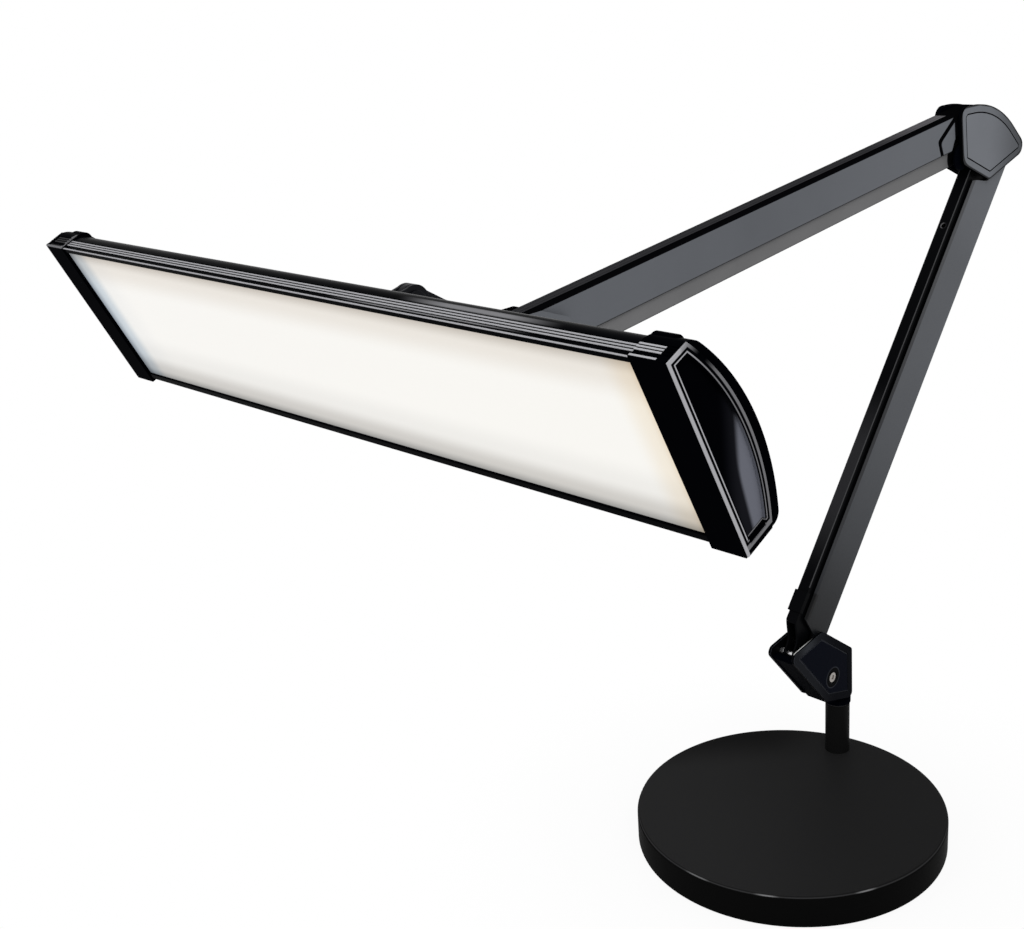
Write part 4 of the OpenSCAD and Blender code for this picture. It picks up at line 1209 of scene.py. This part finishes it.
class LAMP_OT_stage(bpy.types.Operator):
    """Place the camera, the light and the floor"""

    bl_idname = "lamp.stage"
    bl_label = "Stage"

    def execute(self, context):
        scene = context.scene
        stage = scene.lamp_stage
        scene.view_settings.view_transform = "Standard"
        self.camera(scene, stage)
        self.floor()
        self.world(scene, stage)
        self.softbox("key_softbox", KEY_PLACE, KEY_SIZE, stage.key)
        self.softbox("side_softbox", FILL_PLACE, FILL_SIZE, stage.fill)
        return {"FINISHED"}

    def camera(self, scene, stage):
        """Camera that looks along the photograph's view line."""
        yaw, pitch, roll = stage.heading, stage.pitch, stage.roll
        ahead = Vector((-math.cos(yaw), -math.sin(yaw), 0))
        forward = ahead * math.cos(pitch) - Vector((0, 0, math.sin(pitch)))
        level = Vector((-math.sin(yaw), math.cos(yaw), 0))
        down = forward.cross(level)
        right = level * math.cos(roll) + down * math.sin(roll)
        low = down * math.cos(roll) - level * math.sin(roll)
        turn = Matrix((right, -low, -forward)).transposed().to_4x4()
        data = bpy.data.cameras.new("photo_camera")
        data.sensor_fit = "HORIZONTAL"
        data.sensor_width = SENSOR_WIDTH
        data.lens = stage.lens
        data.clip_start, data.clip_end = 0.01, 50
        eye = bpy.data.objects.new("photo_camera", data)
        scene.collection.objects.link(eye)
        eye.matrix_world = Matrix.Translation(Vector(stage.eye)) @ turn
        scene.camera = eye

    def floor(self):
        """White floor that keeps the lamp's shadow and runs out into the white around it."""
        deselect_all()
        bpy.ops.mesh.primitive_plane_add(size=FLOOR_SIZE, location=(0, 0, 0))
        plane = bpy.context.object
        plane.name = "floor"
        white = Surface("floor_white", rough=0.9, specular=0.0)
        white.feed(FLOOR_TONE, white.shader.inputs["Base Color"])
        nodes, links = white.nodes, white.links
        glow = nodes.new("ShaderNodeEmission")
        glow.inputs["Strength"].default_value = 1.0
        place = nodes.new("ShaderNodeTexCoord")
        length = nodes.new("ShaderNodeVectorMath")
        length.operation = "LENGTH"
        away = nodes.new("ShaderNodeMapRange")
        away.interpolation_type = "SMOOTHSTEP"
        away.inputs["From Min"].default_value = SHADOW_REACH[0]
        away.inputs["From Max"].default_value = SHADOW_REACH[1]
        away.inputs["To Min"].default_value = SHADOW_WHITE
        away.inputs["To Max"].default_value = 1.0
        links.new(place.outputs["Object"], length.inputs[0])
        links.new(length.outputs["Value"], away.inputs["Value"])
        share = white.sum("MULTIPLY", seen_rays(nodes, links), away.outputs["Result"])
        blend = nodes.new("ShaderNodeMixShader")
        links.new(share, blend.inputs["Fac"])
        links.new(white.shader.outputs["BSDF"], blend.inputs[1])
        links.new(glow.outputs["Emission"], blend.inputs[2])
        links.new(blend.outputs["Shader"], nodes["Material Output"].inputs["Surface"])
        plane.data.materials.append(white.material)

    def world(self, scene, stage):
        """White background with a plain even light."""
        world = bpy.data.worlds.new("studio")
        world.use_nodes = True
        scene.world = world
        nodes, links = world.node_tree.nodes, world.node_tree.links
        nodes.clear()
        out = nodes.new("ShaderNodeOutputWorld")
        blend = nodes.new("ShaderNodeMixShader")
        links.new(seen_rays(nodes, links), blend.inputs["Fac"])
        for i, strength in ((1, stage.ambient), (2, 1.0)):
            light = nodes.new("ShaderNodeBackground")
            light.inputs["Color"].default_value = (1, 1, 1, 1)
            light.inputs["Strength"].default_value = strength
            links.new(light.outputs["Background"], blend.inputs[i])
        links.new(blend.outputs["Shader"], out.inputs["Surface"])

    def softbox(self, name, place, size, power):
        """Square soft light aimed at the lamp."""
        data = bpy.data.lights.new(name, "AREA")
        data.shape = "SQUARE"
        data.size = size
        data.energy = power
        lamp = bpy.data.objects.new(name, data)
        bpy.context.scene.collection.objects.link(lamp)
        lamp.location = place
        lamp.rotation_mode = "QUATERNION"
        lamp.rotation_quaternion = (Vector(LIGHT_TARGET) - Vector(place)).to_track_quat("-Z", "Y")


class LAMP_PT_pieces(bpy.types.Panel):
    """Lists the lamp's pieces and settings"""

    bl_idname = "LAMP_PT_pieces"
    bl_label = "Desk lamp"
    bl_space_type = "VIEW_3D"
    bl_region_type = "UI"
    bl_category = "Desk lamp"

    def draw(self, context):
        for piece in PIECES:
            self.layout.operator(piece.bl_idname)
        for settings in (context.scene.lamp_finish, context.scene.lamp_stage):
            for name in settings.__annotations__:
                self.layout.prop(settings, name)


PIECES = (
    LAMP_OT_stage,
    LAMP_OT_base,
    LAMP_OT_turret,
    LAMP_OT_arms,
    LAMP_OT_elbow,
    LAMP_OT_wrist,
    LAMP_OT_head,
    LAMP_OT_diffuser,
    LAMP_OT_switch,
)
CLASSES = (LampStageSettings, LampFinishSettings) + PIECES + (LAMP_PT_pieces,)


def register():
    for cls in CLASSES:
        bpy.utils.register_class(cls)
    bpy.types.Scene.lamp_stage = bpy.props.PointerProperty(type=LampStageSettings)
    bpy.types.Scene.lamp_finish = bpy.props.PointerProperty(type=LampFinishSettings)


def unregister():
    del bpy.types.Scene.lamp_finish
    del bpy.types.Scene.lamp_stage
    for cls in reversed(CLASSES):
        bpy.utils.unregister_class(cls)


def main():
    register()
    bpy.ops.lamp.stage()
    bpy.ops.lamp.base()
    bpy.ops.lamp.turret()
    bpy.ops.lamp.arms()
    bpy.ops.lamp.elbow()
    bpy.ops.lamp.wrist()
    bpy.ops.lamp.head()
    bpy.ops.lamp.diffuser()
    bpy.ops.lamp.switch()


if __name__ == "__main__":
    main()
